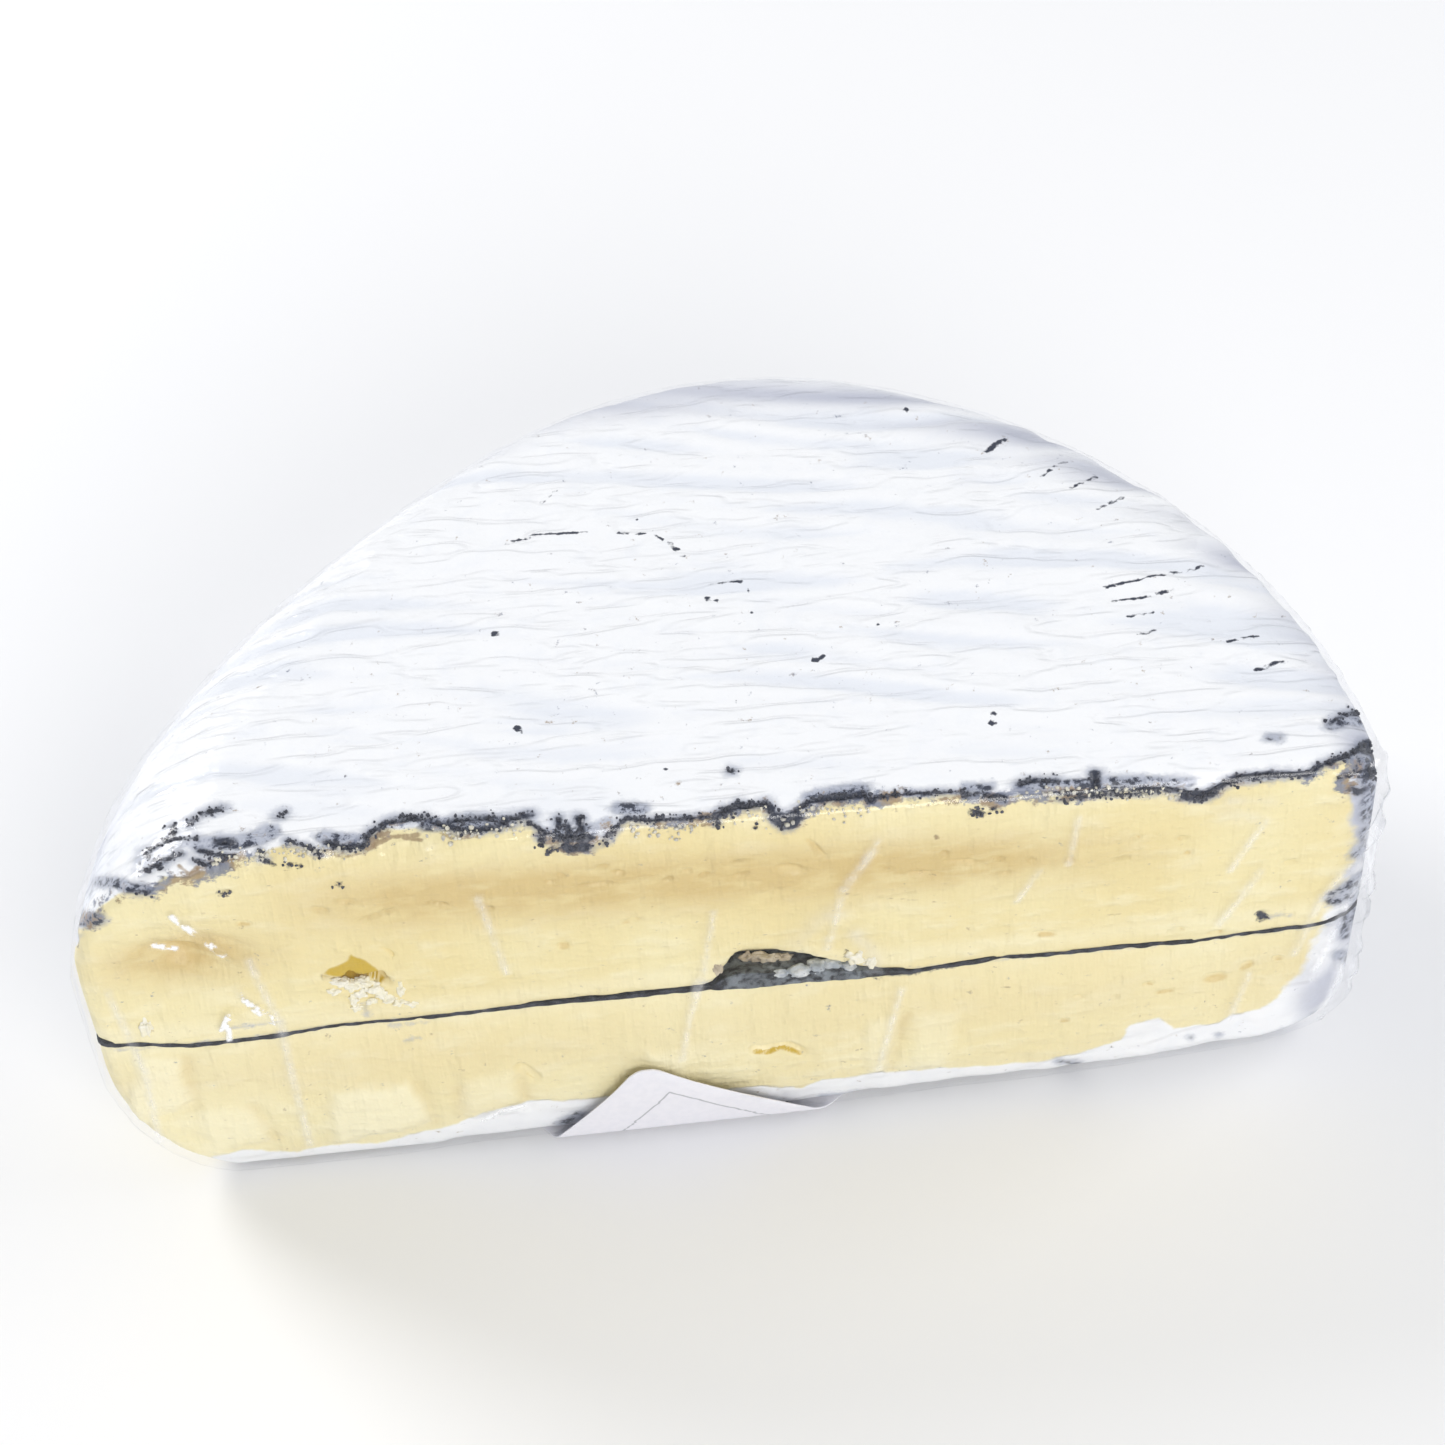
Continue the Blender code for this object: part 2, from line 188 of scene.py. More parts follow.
def insideOf(across, climb, outline):
    closed = outline + outline[:1]
    away = nearLine(across, climb, closed)
    within = np.zeros(len(across), bool)
    for (x0, z0), (x1, z1) in zip(closed, closed[1:]):
        if z0 != z1:
            at = x0 + (climb - z0) / (z1 - z0) * (x1 - x0)
            within ^= ((z0 > climb) != (z1 > climb)) & (across < at)
    return np.where(within, away, -away)


def keepField(piece, name, values):
    layer = piece.data.attributes.new(name, "FLOAT", "POINT")
    layer.data.foreach_set("value", np.clip(values, -3.0, 3.0).astype(np.float32))


def trianglesOf(piece):
    return sum(len(face.vertices) - 2 for face in piece.data.polygons)


# Marks seen on the cut and its edges, as (half width, points on the cut plane). Those in haze fade
# out over about a millimetre, so their half width may be nothing or less.

inkMarks = [
    (0.25, [(-88.3, 72.1), (-86.9, 72.0)]),
    (0.22, [(-85.8, 80.5), (-81.8, 82.9), (-80.5, 85.7)]),
    (0.16, [(-81.8, 82.9), (-77.8, 82.7)]),
    (0.2, [(-85.7, 80.2), (-85.0, 78.8), (-83.3, 78.8)]),
    (0.2, [(-87.1, 76.6), (-85.3, 77.1), (-83.8, 77.6)]),
    (0.35, [(-83.0, 78.5), (-80.6, 79.6)]),
    (0.6, [(-74.6, 81.1), (-72.9, 80.7)]),
    (0.3, [(-77.7, 79.7), (-75.5, 78.5), (-73.2, 77.9)]),
    (0.25, [(-78.4, 77.7), (-77.3, 76.3), (-75.0, 77.2)]),
    (0.16, [(-69.3, 78.8), (-69.0, 76.5), (-67.6, 75.0)]),
    (0.16, [(-64.8, 79.9), (-62.0, 78.1), (-60.3, 75.8)]),
    (0.45, [(-59.2, 78.5), (-57.0, 77.1), (-54.0, 76.9)]),
    (0.35, [(-54.0, 76.9), (-53.2, 78.8), (-51.1, 80.7), (-48.9, 81.9), (-44.9, 81.7)]),
    (0.25, [(-78.5, 85.6), (-76.0, 87.4), (-72.8, 88.4)]),
    (0.25, [(-65.4, 85.2), (-64.3, 85.8)]),
    (0.22, [(-76.5, 69.9), (-75.1, 70.1)]),
    (0.42, [(-47.8, 81.9), (-44.2, 81.5), (-42.3, 80.0), (-38.8, 77.9), (-34.0, 77.9), (-31.8, 79.6),
        (-29.8, 79.7)]),
    (0.45, [(-40.2, 80.4), (-36.8, 80.4), (-33.2, 79.5)]),
    (0.6, [(-29.1, 79.9)]),
    (0.16, [(-29.2, 78.4), (-26.8, 75.2), (-23.5, 73.7)]),
    (0.3, [(-24.8, 78.4), (-24.8, 76.2)]),
    (0.35, [(-23.6, 76.7), (-23.6, 74.2)]),
    (0.4, [(-21.8, 78.0), (-21.6, 74.1)]),
    (0.55, [(-24.9, 74.1), (-22.9, 73.6), (-20.8, 73.5)]),
    (0.6, [(-24.5, 72.3), (-23.7, 71.4), (-21.3, 71.5)]),
    (0.4, [(-26.5, 71.8)]),
    (0.3, [(-27.9, 73.1), (-27.6, 75.0)]),
    (0.25, [(-17.9, 73.5), (-14.7, 77.1), (-12.4, 76.0), (-9.0, 75.7), (-4.2, 75.4), (-1.5, 75.0),
        (2.1, 76.7), (5.1, 77.0)]),
    (0.45, [(-1.5, 75.6), (0.3, 76.4), (2.1, 77.2)]),
    (0.15, [(-1.5, 74.7), (-1.4, 72.7)]),
    (0.4, [(2.1, 76.7), (4.1, 76.7), (5.9, 76.9), (7.1, 74.4)]),
    (0.95, [(7.6, 73.3), (9.0, 71.9), (10.0, 73.2)]),
    (0.35, [(10.2, 74.4), (12.3, 76.1), (14.4, 76.5)]),
    (0.55, [(14.4, 76.5), (17.2, 76.5), (19.9, 76.4)]),
    (0.2, [(20.6, 77.1), (21.4, 74.7), (22.6, 76.0)]),
    (0.2, [(22.6, 75.7), (26.1, 75.7), (32.2, 75.2), (38.4, 73.9), (40.1, 72.5)]),
    (0.45, [(39.3, 72.9), (41.5, 72.5)]),
    (0.4, [(36.8, 70.2), (38.2, 69.2)]),
    (0.3, [(40.0, 70.2)]),
    (0.35, [(43.9, 75.2), (46.3, 75.6), (49.5, 74.9)]),
    (0.55, [(55.1, 75.6), (55.2, 72.5)]),
    (0.32, [(49.9, 72.1), (53.4, 71.8), (58.6, 71.8), (65.6, 70.7), (69.4, 69.3), (72.2, 68.6)]),
    (0.42, [(72.2, 68.6), (74.3, 70.1), (77.0, 71.4), (81.1, 71.4), (87.4, 70.6), (89.1, 72.1),
        (93.4, 73.9), (95.7, 75.3)]),
    (0.18, [(50.0, 70.6), (55.2, 70.8), (60.4, 70.2), (64.5, 70.1)]),
    (0.6, [(68.9, 68.6), (71.2, 67.8), (72.9, 68.5)]),
    (1.0, [(95.7, 75.3), (97.9, 73.9), (98.4, 71.9), (97.5, 70.5)]),
    (0.8, [(98.7, 69.0)]),
    (0.3, [(92.2, 68.8), (93.8, 69.3), (95.8, 69.8), (98.0, 68.9), (98.8, 67.2)]),
    (0.35, [(94.4, 66.4), (95.5, 65.1), (96.5, 65.8)]),
    (0.25, [(90.1, 81.3), (92.1, 82.7), (94.1, 82.7), (96.7, 80.6)]),
    (0.35, [(-99.5, 62.0), (-99.4, 63.6)]),
    (0.3, [(-101.3, 60.2)]),
    (0.3, [(-101.3, 44.9)]),
    (0.3, [(-59.0, 69.2)]),
    (0.25, [(-65.4, 74.6)]),
    (0.2, [(-63.8, 74.1)]),
    (0.3, [(4.2, 71.8)]),
    (0.25, [(1.2, 84.6)]),
    (0.2, [(-18.4, 71.8)]),
    (0.35, [(-22.6, 38.0)]),
    (0.95, [(82.2, 39.0), (82.4, 38.2)]),
    (0.45, [(-2.7, 39.6), (-1.6, 40.4), (-2.2, 37.6)]),
    (0.45, [(22.3, 34.4), (25.9, 33.8), (29.1, 34.0), (34.6, 34.9)]),
    (0.16, [(16.8, 41.2), (16.4, 39.0), (17.4, 37.3), (19.0, 35.7)]),
    (0.25, [(19.1, 34.1)]),
    (0.3, [(20.9, 33.6), (21.8, 33.2)]),
]

hazeMarks = [
    (1.3, [(-99.8, 69.2), (-97.0, 67.0), (-95.6, 67.2)]),
    (1.0, [(-93.1, 75.2), (-91.1, 74.8), (-89.4, 73.3), (-87.2, 72.6)]),
    (1.2, [(-85.8, 78.8), (-84.0, 78.2)]),
    (1.3, [(-77.4, 81.0), (-74.3, 81.0), (-71.8, 80.5), (-68.9, 81.1), (-66.9, 82.2)]),
    (0.5, [(-84.0, 80.6), (-79.6, 81.6)]),
    (1.0, [(-59.5, 79.8), (-55.1, 78.6)]),
    (1.2, [(-44.0, 80.0), (-38.0, 79.4), (-32.0, 78.8)]),
    (1.4, [(-27.0, 75.0), (-22.6, 74.4), (-20.8, 75.0)]),
    (0.6, [(-19.0, 75.6), (-17.6, 76.4)]),
    (1.1, [(-15.5, 79.2), (-12.6, 78.6)]),
    (0.8, [(0.0, 76.4), (3.4, 77.0)]),
    (1.0, [(12.5, 77.2), (17.5, 77.9), (20.5, 77.6)]),
    (0.9, [(36.0, 75.4), (39.0, 75.0)]),
    (1.35, [(44.4, 74.6), (47.7, 73.9), (51.9, 73.4), (56.0, 73.2)]),
    (0.9, [(56.4, 73.8), (62.0, 73.0), (69.3, 71.4)]),
    (0.7, [(75.3, 70.9), (82.2, 70.6)]),
    (1.2, [(90.6, 81.0), (93.0, 82.0), (96.5, 80.2)]),
    (0.6, [(81.0, 79.5), (82.4, 79.2)]),
    (1.4, [(97.0, 62.4), (99.4, 63.4), (99.8, 58.0)]),
    (1.2, [(96.2, 51.0), (98.6, 53.4)]),
    (2.2, [(93.9, 41.3), (96.8, 43.5), (99.5, 46.5)]),
    (2.2, [(96.5, 72.0), (98.6, 66.0), (98.6, 60.0)]),
    (1.5, [(97.6, 56.0), (98.8, 50.0)]),
    (2.4, [(97.0, 42.0), (99.5, 36.0), (100.5, 28.0)]),
    (2.0, [(100.5, 68.0), (101.0, 60.0)]),
    (1.8, [(101.0, 50.0), (101.5, 42.0)]),
    (1.5, [(100.5, 20.0), (100.8, 12.0)]),
    (1.3, [(95.6, 27.0), (99.0, 24.0), (100.5, 19.0)]),
    (1.2, [(93.0, 12.0), (97.5, 9.5), (100.5, 8.0)]),
    (1.5, [(97.0, 35.3), (101.5, 32.3)]),
    (1.0, [(95.6, 37.0), (96.0, 31.5)]),
    (0.7, [(95.8, 15.6), (98.9, 16.9)]),
    (0.9, [(63.6, 4.9), (70.1, 5.4), (76.1, 5.2)]),
    (0.6, [(76.9, 9.8)]),
    (0.8, [(87.5, 8.9)]),
    (0.6, [(72.3, 9.8)]),
    (0.7, [(53.9, 6.1), (50.6, 7.4)]),
    (0.8, [(94.5, 9.0)]),
    (1.0, [(12.0, 4.4), (18.3, 4.2)]),
    (0.9, [(-95.5, 7.6), (-91.9, 5.2)]),
    (1.2, [(-31.0, 5.0), (-28.4, 6.9)]),
    (0.1, [(-53.6, 30.5), (-51.5, 31.2)]),
    (0.0, [(-55.6, 34.9), (-50.0, 34.6)]),
    (-0.1, [(-98.0, 35.8), (-80.0, 35.5), (-64.8, 36.3), (-45.8, 36.0), (-28.6, 36.2), (-9.5, 35.9),
        (-3.0, 38.0)]),
    (-0.1, [(22.0, 34.8), (34.6, 35.0), (51.1, 34.8), (70.8, 34.3), (93.0, 34.8)]),
    (0.0, [(-81.0, 38.4), (-72.0, 38.6)]),
    (0.1, [(83.7, 38.3), (86.6, 38.1)]),
    (0.2, [(-58.6, 40.6), (-58.8, 37.8)]),
]

brownMarks = [
    (0.5, [(-81.2, 76.9), (-80.2, 74.9), (-78.6, 76.2)]),
    (0.4, [(-58.9, 75.6), (-56.7, 74.9), (-54.6, 75.4)]),
    (0.6, [(-53.4, 76.2), (-49.7, 78.2), (-45.6, 78.1)]),
    (0.5, [(-47.7, 77.6), (-45.4, 76.9)]),
    (0.4, [(-42.2, 77.9), (-40.7, 76.4), (-36.9, 76.3)]),
    (0.35, [(30.1, 72.5)]),
    (0.45, [(31.2, 65.6), (31.2, 65.0)]),
    (0.2, [(36.1, 67.1)]),
    (0.25, [(26.3, 53.9)]),
    (0.14, [(16.7, 54.7), (21.8, 53.0)]),
    (0.1, [(22.2, 53.0), (33.2, 49.7)]),
    (0.2, [(44.8, 46.2)]),
    (0.18, [(55.4, 43.5)]),
    (0.2, [(58.1, 43.0), (59.8, 42.7)]),
    (0.2, [(70.5, 39.9)]),
    (0.35, [(63.7, 16.7)]),
    (0.3, [(42.0, 41.0)]),
    (0.22, [(41.1, 28.0), (42.5, 27.8)]),
    (0.2, [(18.9, 24.9)]),
    (0.3, [(-49.4, 31.6)]),
    (0.3, [(-98.2, 35.6)]),
    (0.25, [(-79.6, 65.7)]),
    (0.3, [(-82.4, 72.4)]),
]

# The paste's own outline on the cut: the rind shows outside it.
pasteOutline = [
    (-101.0, 64.5), (-97.0, 66.0), (-94.0, 70.3), (-90.5, 72.4), (-86.9, 71.5), (-84.0, 75.0),
    (-80.0, 74.0), (-77.0, 75.5), (-73.0, 77.3), (-69.0, 77.5), (-65.0, 79.4), (-60.3, 77.0),
    (-54.0, 76.6), (-53.2, 78.5), (-51.0, 80.4), (-48.9, 81.5), (-44.5, 81.2), (-42.3, 79.7),
    (-38.8, 77.6), (-34.0, 77.6), (-31.8, 79.3), (-29.2, 79.0), (-26.8, 75.0), (-24.0, 72.5),
    (-21.0, 71.5), (-18.5, 73.0), (-14.7, 76.8), (-9.0, 75.4), (-1.5, 74.8), (2.0, 76.4),
    (5.9, 76.6), (7.4, 73.6), (9.0, 71.0), (10.2, 74.0), (14.4, 76.1), (20.0, 76.0),
    (22.6, 75.3), (32.0, 74.8), (38.4, 73.5), (40.6, 72.0), (44.5, 73.2), (50.0, 71.8),
    (58.6, 71.5), (65.6, 70.4), (70.0, 68.5), (72.5, 68.2), (74.3, 69.8), (77.0, 71.0),
    (81.1, 71.0), (87.4, 70.3), (89.1, 71.8), (93.4, 73.4), (94.8, 71.5), (93.6, 68.0),
    (94.6, 62.0), (95.6, 55.0), (96.4, 49.5), (94.9, 45.8), (93.1, 40.1), (92.2, 34.1),
    (89.7, 24.9), (86.9, 19.0), (83.5, 15.2), (78.9, 14.6), (76.7, 13.1), (69.4, 12.6),
    (67.0, 15.9), (62.0, 14.6), (60.7, 11.2), (53.4, 8.8), (46.9, 7.7), (31.5, 8.9),
    (21.1, 9.4), (15.8, 9.1), (11.7, 9.4), (8.4, 7.4), (2.2, 9.4), (-12.0, 9.8),
    (-24.9, 11.0), (-29.1, 10.9), (-35.7, 12.1), (-43.7, 10.1), (-49.2, 7.6), (-55.6, 6.6),
    (-61.6, 5.1), (-69.3, 6.1), (-74.7, 5.1), (-83.2, 7.3), (-89.7, 5.9), (-95.8, 8.3),
    (-100.5, 14.0), (-104.5, 26.0), (-106.0, 40.0), (-106.0, 52.0), (-104.5, 60.0),
]

# Small slits and eyes in the paste: x, height, half length, half height, turn in degrees.
pasteEyes = [
    (-19.3, 66.6, 1.0, 0.4, -8), (-17.0, 65.0, 1.1, 0.45, 20), (-20.8, 62.9, 2.6, 0.4, 4),
    (-6.7, 63.6, 0.8, 0.45, -12), (-9.6, 62.3, 0.9, 0.4, -6), (-4.2, 62.5, 0.9, 0.35, -8),
    (1.8, 64.6, 1.6, 0.3, -4), (1.5, 61.6, 1.3, 0.35, -8), (9.2, 61.4, 2.4, 1.1, 22),
    (23.6, 59.3, 0.9, 0.35, 8), (29.3, 57.2, 2.6, 0.5, 10), (35.2, 59.0, 2.8, 0.6, 12),
    (32.4, 61.6, 0.7, 0.35, 0), (40.6, 58.8, 0.9, 0.35, 0), (41.7, 55.4, 1.1, 0.35, 4),
    (45.8, 57.6, 0.6, 0.5, 0), (51.6, 56.8, 0.6, 0.6, 30), (61.7, 60.4, 1.0, 0.3, -6),
    (59.7, 55.9, 1.3, 0.35, -6), (68.8, 59.1, 0.9, 0.35, -10), (70.0, 55.7, 0.8, 0.4, -14),
    (-25.7, 65.7, 0.7, 0.35, 12), (-27.3, 64.5, 1.0, 0.3, 0), (-58.3, 64.9, 1.6, 0.6, 4),
    (-62.3, 63.6, 1.3, 0.6, 24), (-74.1, 62.4, 1.2, 0.6, 6), (-44.7, 62.3, 1.6, 0.4, 18),
    (-37.0, 60.0, 0.8, 0.3, 10), (-26.8, 49.5, 1.0, 0.8, 10), (-15.9, 53.7, 1.6, 0.4, -10),
    (13.0, 65.6, 0.5, 2.6, -28), (75.7, 24.4, 2.0, 1.1, -6), (80.6, 26.6, 1.3, 0.7, -30),
    (67.6, 22.3, 1.5, 0.35, -4), (53.6, 23.2, 0.8, 0.4, 0), (59.5, 22.2, 0.9, 0.35, 0),
    (64.8, 24.6, 1.0, 0.4, -10), (51.4, 17.7, 0.9, 0.35, 0), (85.5, 27.7, 0.8, 0.5, 0),
    (48.0, 39.9, 2.0, 0.6, 6), (68.9, 37.4, 1.4, 0.4, -6), (75.2, 35.9, 1.4, 0.35, -6),
    (-53.9, 61.3, 3.2, 0.35, -16), (86.0, 50.6, 1.0, 0.5, 0),
]

print("marks listed:", len(inkMarks) + len(hazeMarks) + len(brownMarks) + len(pasteEyes))


# The two paste layers with their rind

bodyLook = {
    "grain": 0.00085,  # metres between points
    "softTurns": 7,
    "hiddenKept": 0.03,  # share of the faces kept where nothing is seen
    "undersideKept": 0.25,
    "finerFront": 4.5,  # mm behind the cut up to which the faces are split
    "pit": (-59.4, 49.0),
    "pitOutline": [
        (-64.5, 48.8), (-63.1, 50.4), (-61.4, 51.0), (-60.1, 51.9), (-59.3, 53.6), (-58.7, 52.4),
        (-57.1, 51.2), (-55.8, 49.4), (-54.6, 46.8), (-53.6, 44.4), (-55.6, 45.0), (-57.4, 47.2),
        (-58.6, 46.6), (-60.1, 46.0), (-60.9, 47.3), (-62.6, 47.8),
    ],
    "hollow": (-84.6, 53.6),
}


def bodyFrom(nodeName, pieceName, hidden, underside=None):
    piece = copyOfNode(nodeName, pieceName)
    applyModifier(piece, "REMESH", mode="VOXEL", voxel_size=bodyLook["grain"], use_smooth_shade=True)
    applyModifier(piece, "SMOOTH", factor=0.5, iterations=bodyLook["softTurns"])
    for test, kept in ((hidden, bodyLook["hiddenKept"]), (underside, bodyLook["undersideKept"])):
        if test:
            selectFaces(piece, test(*facesOf(piece)))
            bpy.ops.mesh.decimate(ratio=kept)
            bpy.ops.object.mode_set(mode="OBJECT")
    centres, normals = facesOf(piece)
    splitFaces(piece, 1, (centres[:, 1] < bodyLook["finerFront"]) & (normals[:, 1] < 0.2))
    piece.data.shade_smooth()
    return piece


def nearMiddle(centres, share):
    return np.hypot(centres[:, 0] / 103.0, (centres[:, 1] - 2.0) / 108.0) < share


# Near the cut the ash line hangs lower than the CAD's: x, and how far in mm.
sagLook = [
    (-104, 1.4), (-95, 1.7), (-88, 3.2), (-73, 3.2), (-65, 2.4), (-50, 2.6), (-30, 2.4), (-20, 2.8),
    (-5, 3.0), (3, 3.8), (10, 3.8), (18, 4.2), (27, 4.2), (34, 3.5), (42, 2.4), (60, 2.6), (70, 3.0),
    (80, 2.1), (88, 1.6), (104, 1.4),
]
lineLook = {"middle": 36.7, "rightDrop": 2.0, "reach": 9.0, "fadeFrom": 4.0, "fadeTo": 16.0}


def sagOf(x):
    return np.interp(x, [spot for spot, drop in sagLook], [drop for spot, drop in sagLook])


def lineLevel(x):
    return lineLook["middle"] - lineLook["rightDrop"] * smoothStep(0.0, 95.0, x) - sagOf(x)


def sagLine(piece):
    spots = spotsOf(piece)
    x, y, z = spots.T
    share = np.exp(-(((z - lineLook["middle"]) / lineLook["reach"]) ** 2))
    spots[:, 2] -= sagOf(x) * share * fade(lineLook["fadeFrom"], lineLook["fadeTo"], y)
    setSpots(piece, spots)


def upperHidden(centres, normals):
    return (normals[:, 2] < -0.6) & (centres[:, 1] > 12.0) & nearMiddle(centres, 0.92)


def lowerHidden(centres, normals):
    return (normals[:, 2] > 0.6) & (centres[:, 1] > 8.0) & nearMiddle(centres, 0.93)


def lowerUnderside(centres, normals):
    flat = (normals[:, 2] < -0.8) & (centres[:, 2] < 4.0)
    return flat & (centres[:, 1] > 6.0) & nearMiddle(centres, 0.85)


# Round the side the rind closes over the ash. The sheet's rim and height are read by angle.
rimLook = {"steps": 61, "inset": 3.4, "close": 1.0}

ashLayer = copyOfNode("ash_line", "ashSheet")
ashSpots = spotsOf(ashLayer)
ashTurn, ashRadius = np.arctan2(ashSpots[:, 1], ashSpots[:, 0]), np.hypot(ashSpots[:, 0], ashSpots[:, 1])
rimTurns = np.linspace(0.0, math.pi, rimLook["steps"])
rimRadii, rimHeights = [], []
for turn in rimTurns:
    near = np.abs(ashTurn - turn) < 0.09
    rimRadii.append(ashRadius[near].max())
    rimHeights.append(ashSpots[near & (ashRadius > rimRadii[-1] - 4.0), 2].mean())


def atRim(spots, start, end):
    turn, radius = np.arctan2(spots[:, 1], spots[:, 0]), np.hypot(spots[:, 0], spots[:, 1])
    share = smoothStep(start, end, radius - np.interp(turn, rimTurns, rimRadii))
    return share * smoothStep(5.0, 13.0, spots[:, 1]), np.interp(turn, rimTurns, rimHeights)


def closeRim(piece, towards):
    spots = spotsOf(piece)
    share, middle = atRim(spots, -5.0, -2.5)
    away = (spots[:, 2] - middle) * -towards
    share = share * fade(0.9, 3.0, away) * (away > -0.5)
    spots[:, 2] += towards * rimLook["close"] * share
    setSpots(piece, spots)


def tuckRim(piece):
    spots = spotsOf(piece)
    share, middle = atRim(spots, -8.0, -0.5)
    radius = np.hypot(spots[:, 0], spots[:, 1])
    spots[:, :2] *= (1.0 - rimLook["inset"] * share / np.maximum(radius, 1.0))[:, None]
    setSpots(piece, spots)


upperLayer = bodyFrom("upper_layer", "upperCheese", upperHidden)
print("upper layer meshed,", trianglesOf(upperLayer))
lowerLayer = bodyFrom("lower_layer", "lowerCheese", lowerHidden, lowerUnderside)
print("lower layer meshed,", trianglesOf(lowerLayer))


def eyeDepth(across, climb):
    depth = np.zeros(len(across))
    for x, z, long, tall, turn in pasteEyes:
        near = (np.abs(across - x) < 8.0) & (np.abs(climb - z) < 8.0)
        c, s = math.cos(math.radians(turn)), math.sin(math.radians(turn))
        u = (across[near] - x) * c - (climb[near] - z) * s
        v = (across[near] - x) * s + (climb[near] - z) * c
        depth[near] = np.maximum(depth[near], 1.25 - np.hypot(u / long, v / tall))
    return depth


# How far a spot lies on the cut itself and faces out of it.
def facingCut(normals, y):
    return smoothStep(0.35, 0.75, -normals[:, 1]) * fade(5.0, 8.0, y)


def blotches(spots, base):
    wide = rough(spots, (0.12, 0.12, 0.12), 2.0)
    return np.clip(base + wide + 0.6 * rough(spots, (0.35, 0.35, 0.35), 9.0), 0.0, 1.0)


paintLook = {
    "topFrom": 66.0,  # height of the marks that belong to the top edge
    "frontDepth": 6.0,  # mm behind the cut that its marks reach
    "rightDepth": 22.0,
    "edgeDepth": 16.0,
    "pasteDepth": 4.5,
    "rightSoft": 0.68,
    "gritShare": 0.62,
}


# Marks of the top edge are drawn wider than they were measured.
def widened(strokes, factor, extra):
    top = paintLook["topFrom"]
    return [(half * factor + extra if points[0][1] > top else half, points) for half, points in strokes]


def paintBody(piece):
    look = paintLook
    spots, normals = spotsOf(piece), normalsOf(piece)
    across, climb = onCutPlane(spots)
    depth = np.where(spots[:, 0] > 85.0, look["rightDepth"], look["frontDepth"])
    front = np.clip(depth - spots[:, 1], -3.0, 3.0)
    edgeFront = np.clip(look["edgeDepth"] - spots[:, 1], -3.0, 3.0)
    above = np.where(spots[:, 2] > 55.0, edgeFront, front)
    inside = insideOf(across, climb, pasteOutline)
    softer = 1.0 - look["rightSoft"] * smoothStep(82.0, 90.0, across) * fade(60.0, 66.0, climb)
    behind = look["pasteDepth"] + 16.0 * smoothStep(2.0, 6.0, inside) - spots[:, 1]
    keepField(piece, "paste", np.minimum(inside * softer, np.clip(behind, -3.0, 3.0)))
    keepField(piece, "ink", np.minimum(reachOf(across, climb, widened(inkMarks, 1.5, 0.18)), above))
    keepField(piece, "haze", np.minimum(reachOf(across, climb, widened(hazeMarks, 1.15, 0.35)), above))
    keepField(piece, "brown", np.minimum(reachOf(across, climb, brownMarks), above))
    # Slits and eyes, for their painted shade.
    keepField(piece, "slitShade", np.minimum(eyeDepth(across, climb), front))
    rimBand = smoothStep(-3.0, -0.4, inside) * fade(0.6, 3.6, inside)
    rimBand = rimBand * smoothStep(62.0, 67.0, climb) * (edgeFront > 0.0)
    patches = rough(np.column_stack((across, climb, climb * 0.0)), (0.11, 0.08, 0.0), 21.0)
    keepField(piece, "grit", rimBand * np.clip(look["gritShare"] + 1.1 * patches, 0.0, 1.0))
    return spots, normals, across, climb


# Relief of the upper layer: wrinkled top, crumbled edge, pit, hollow and slits

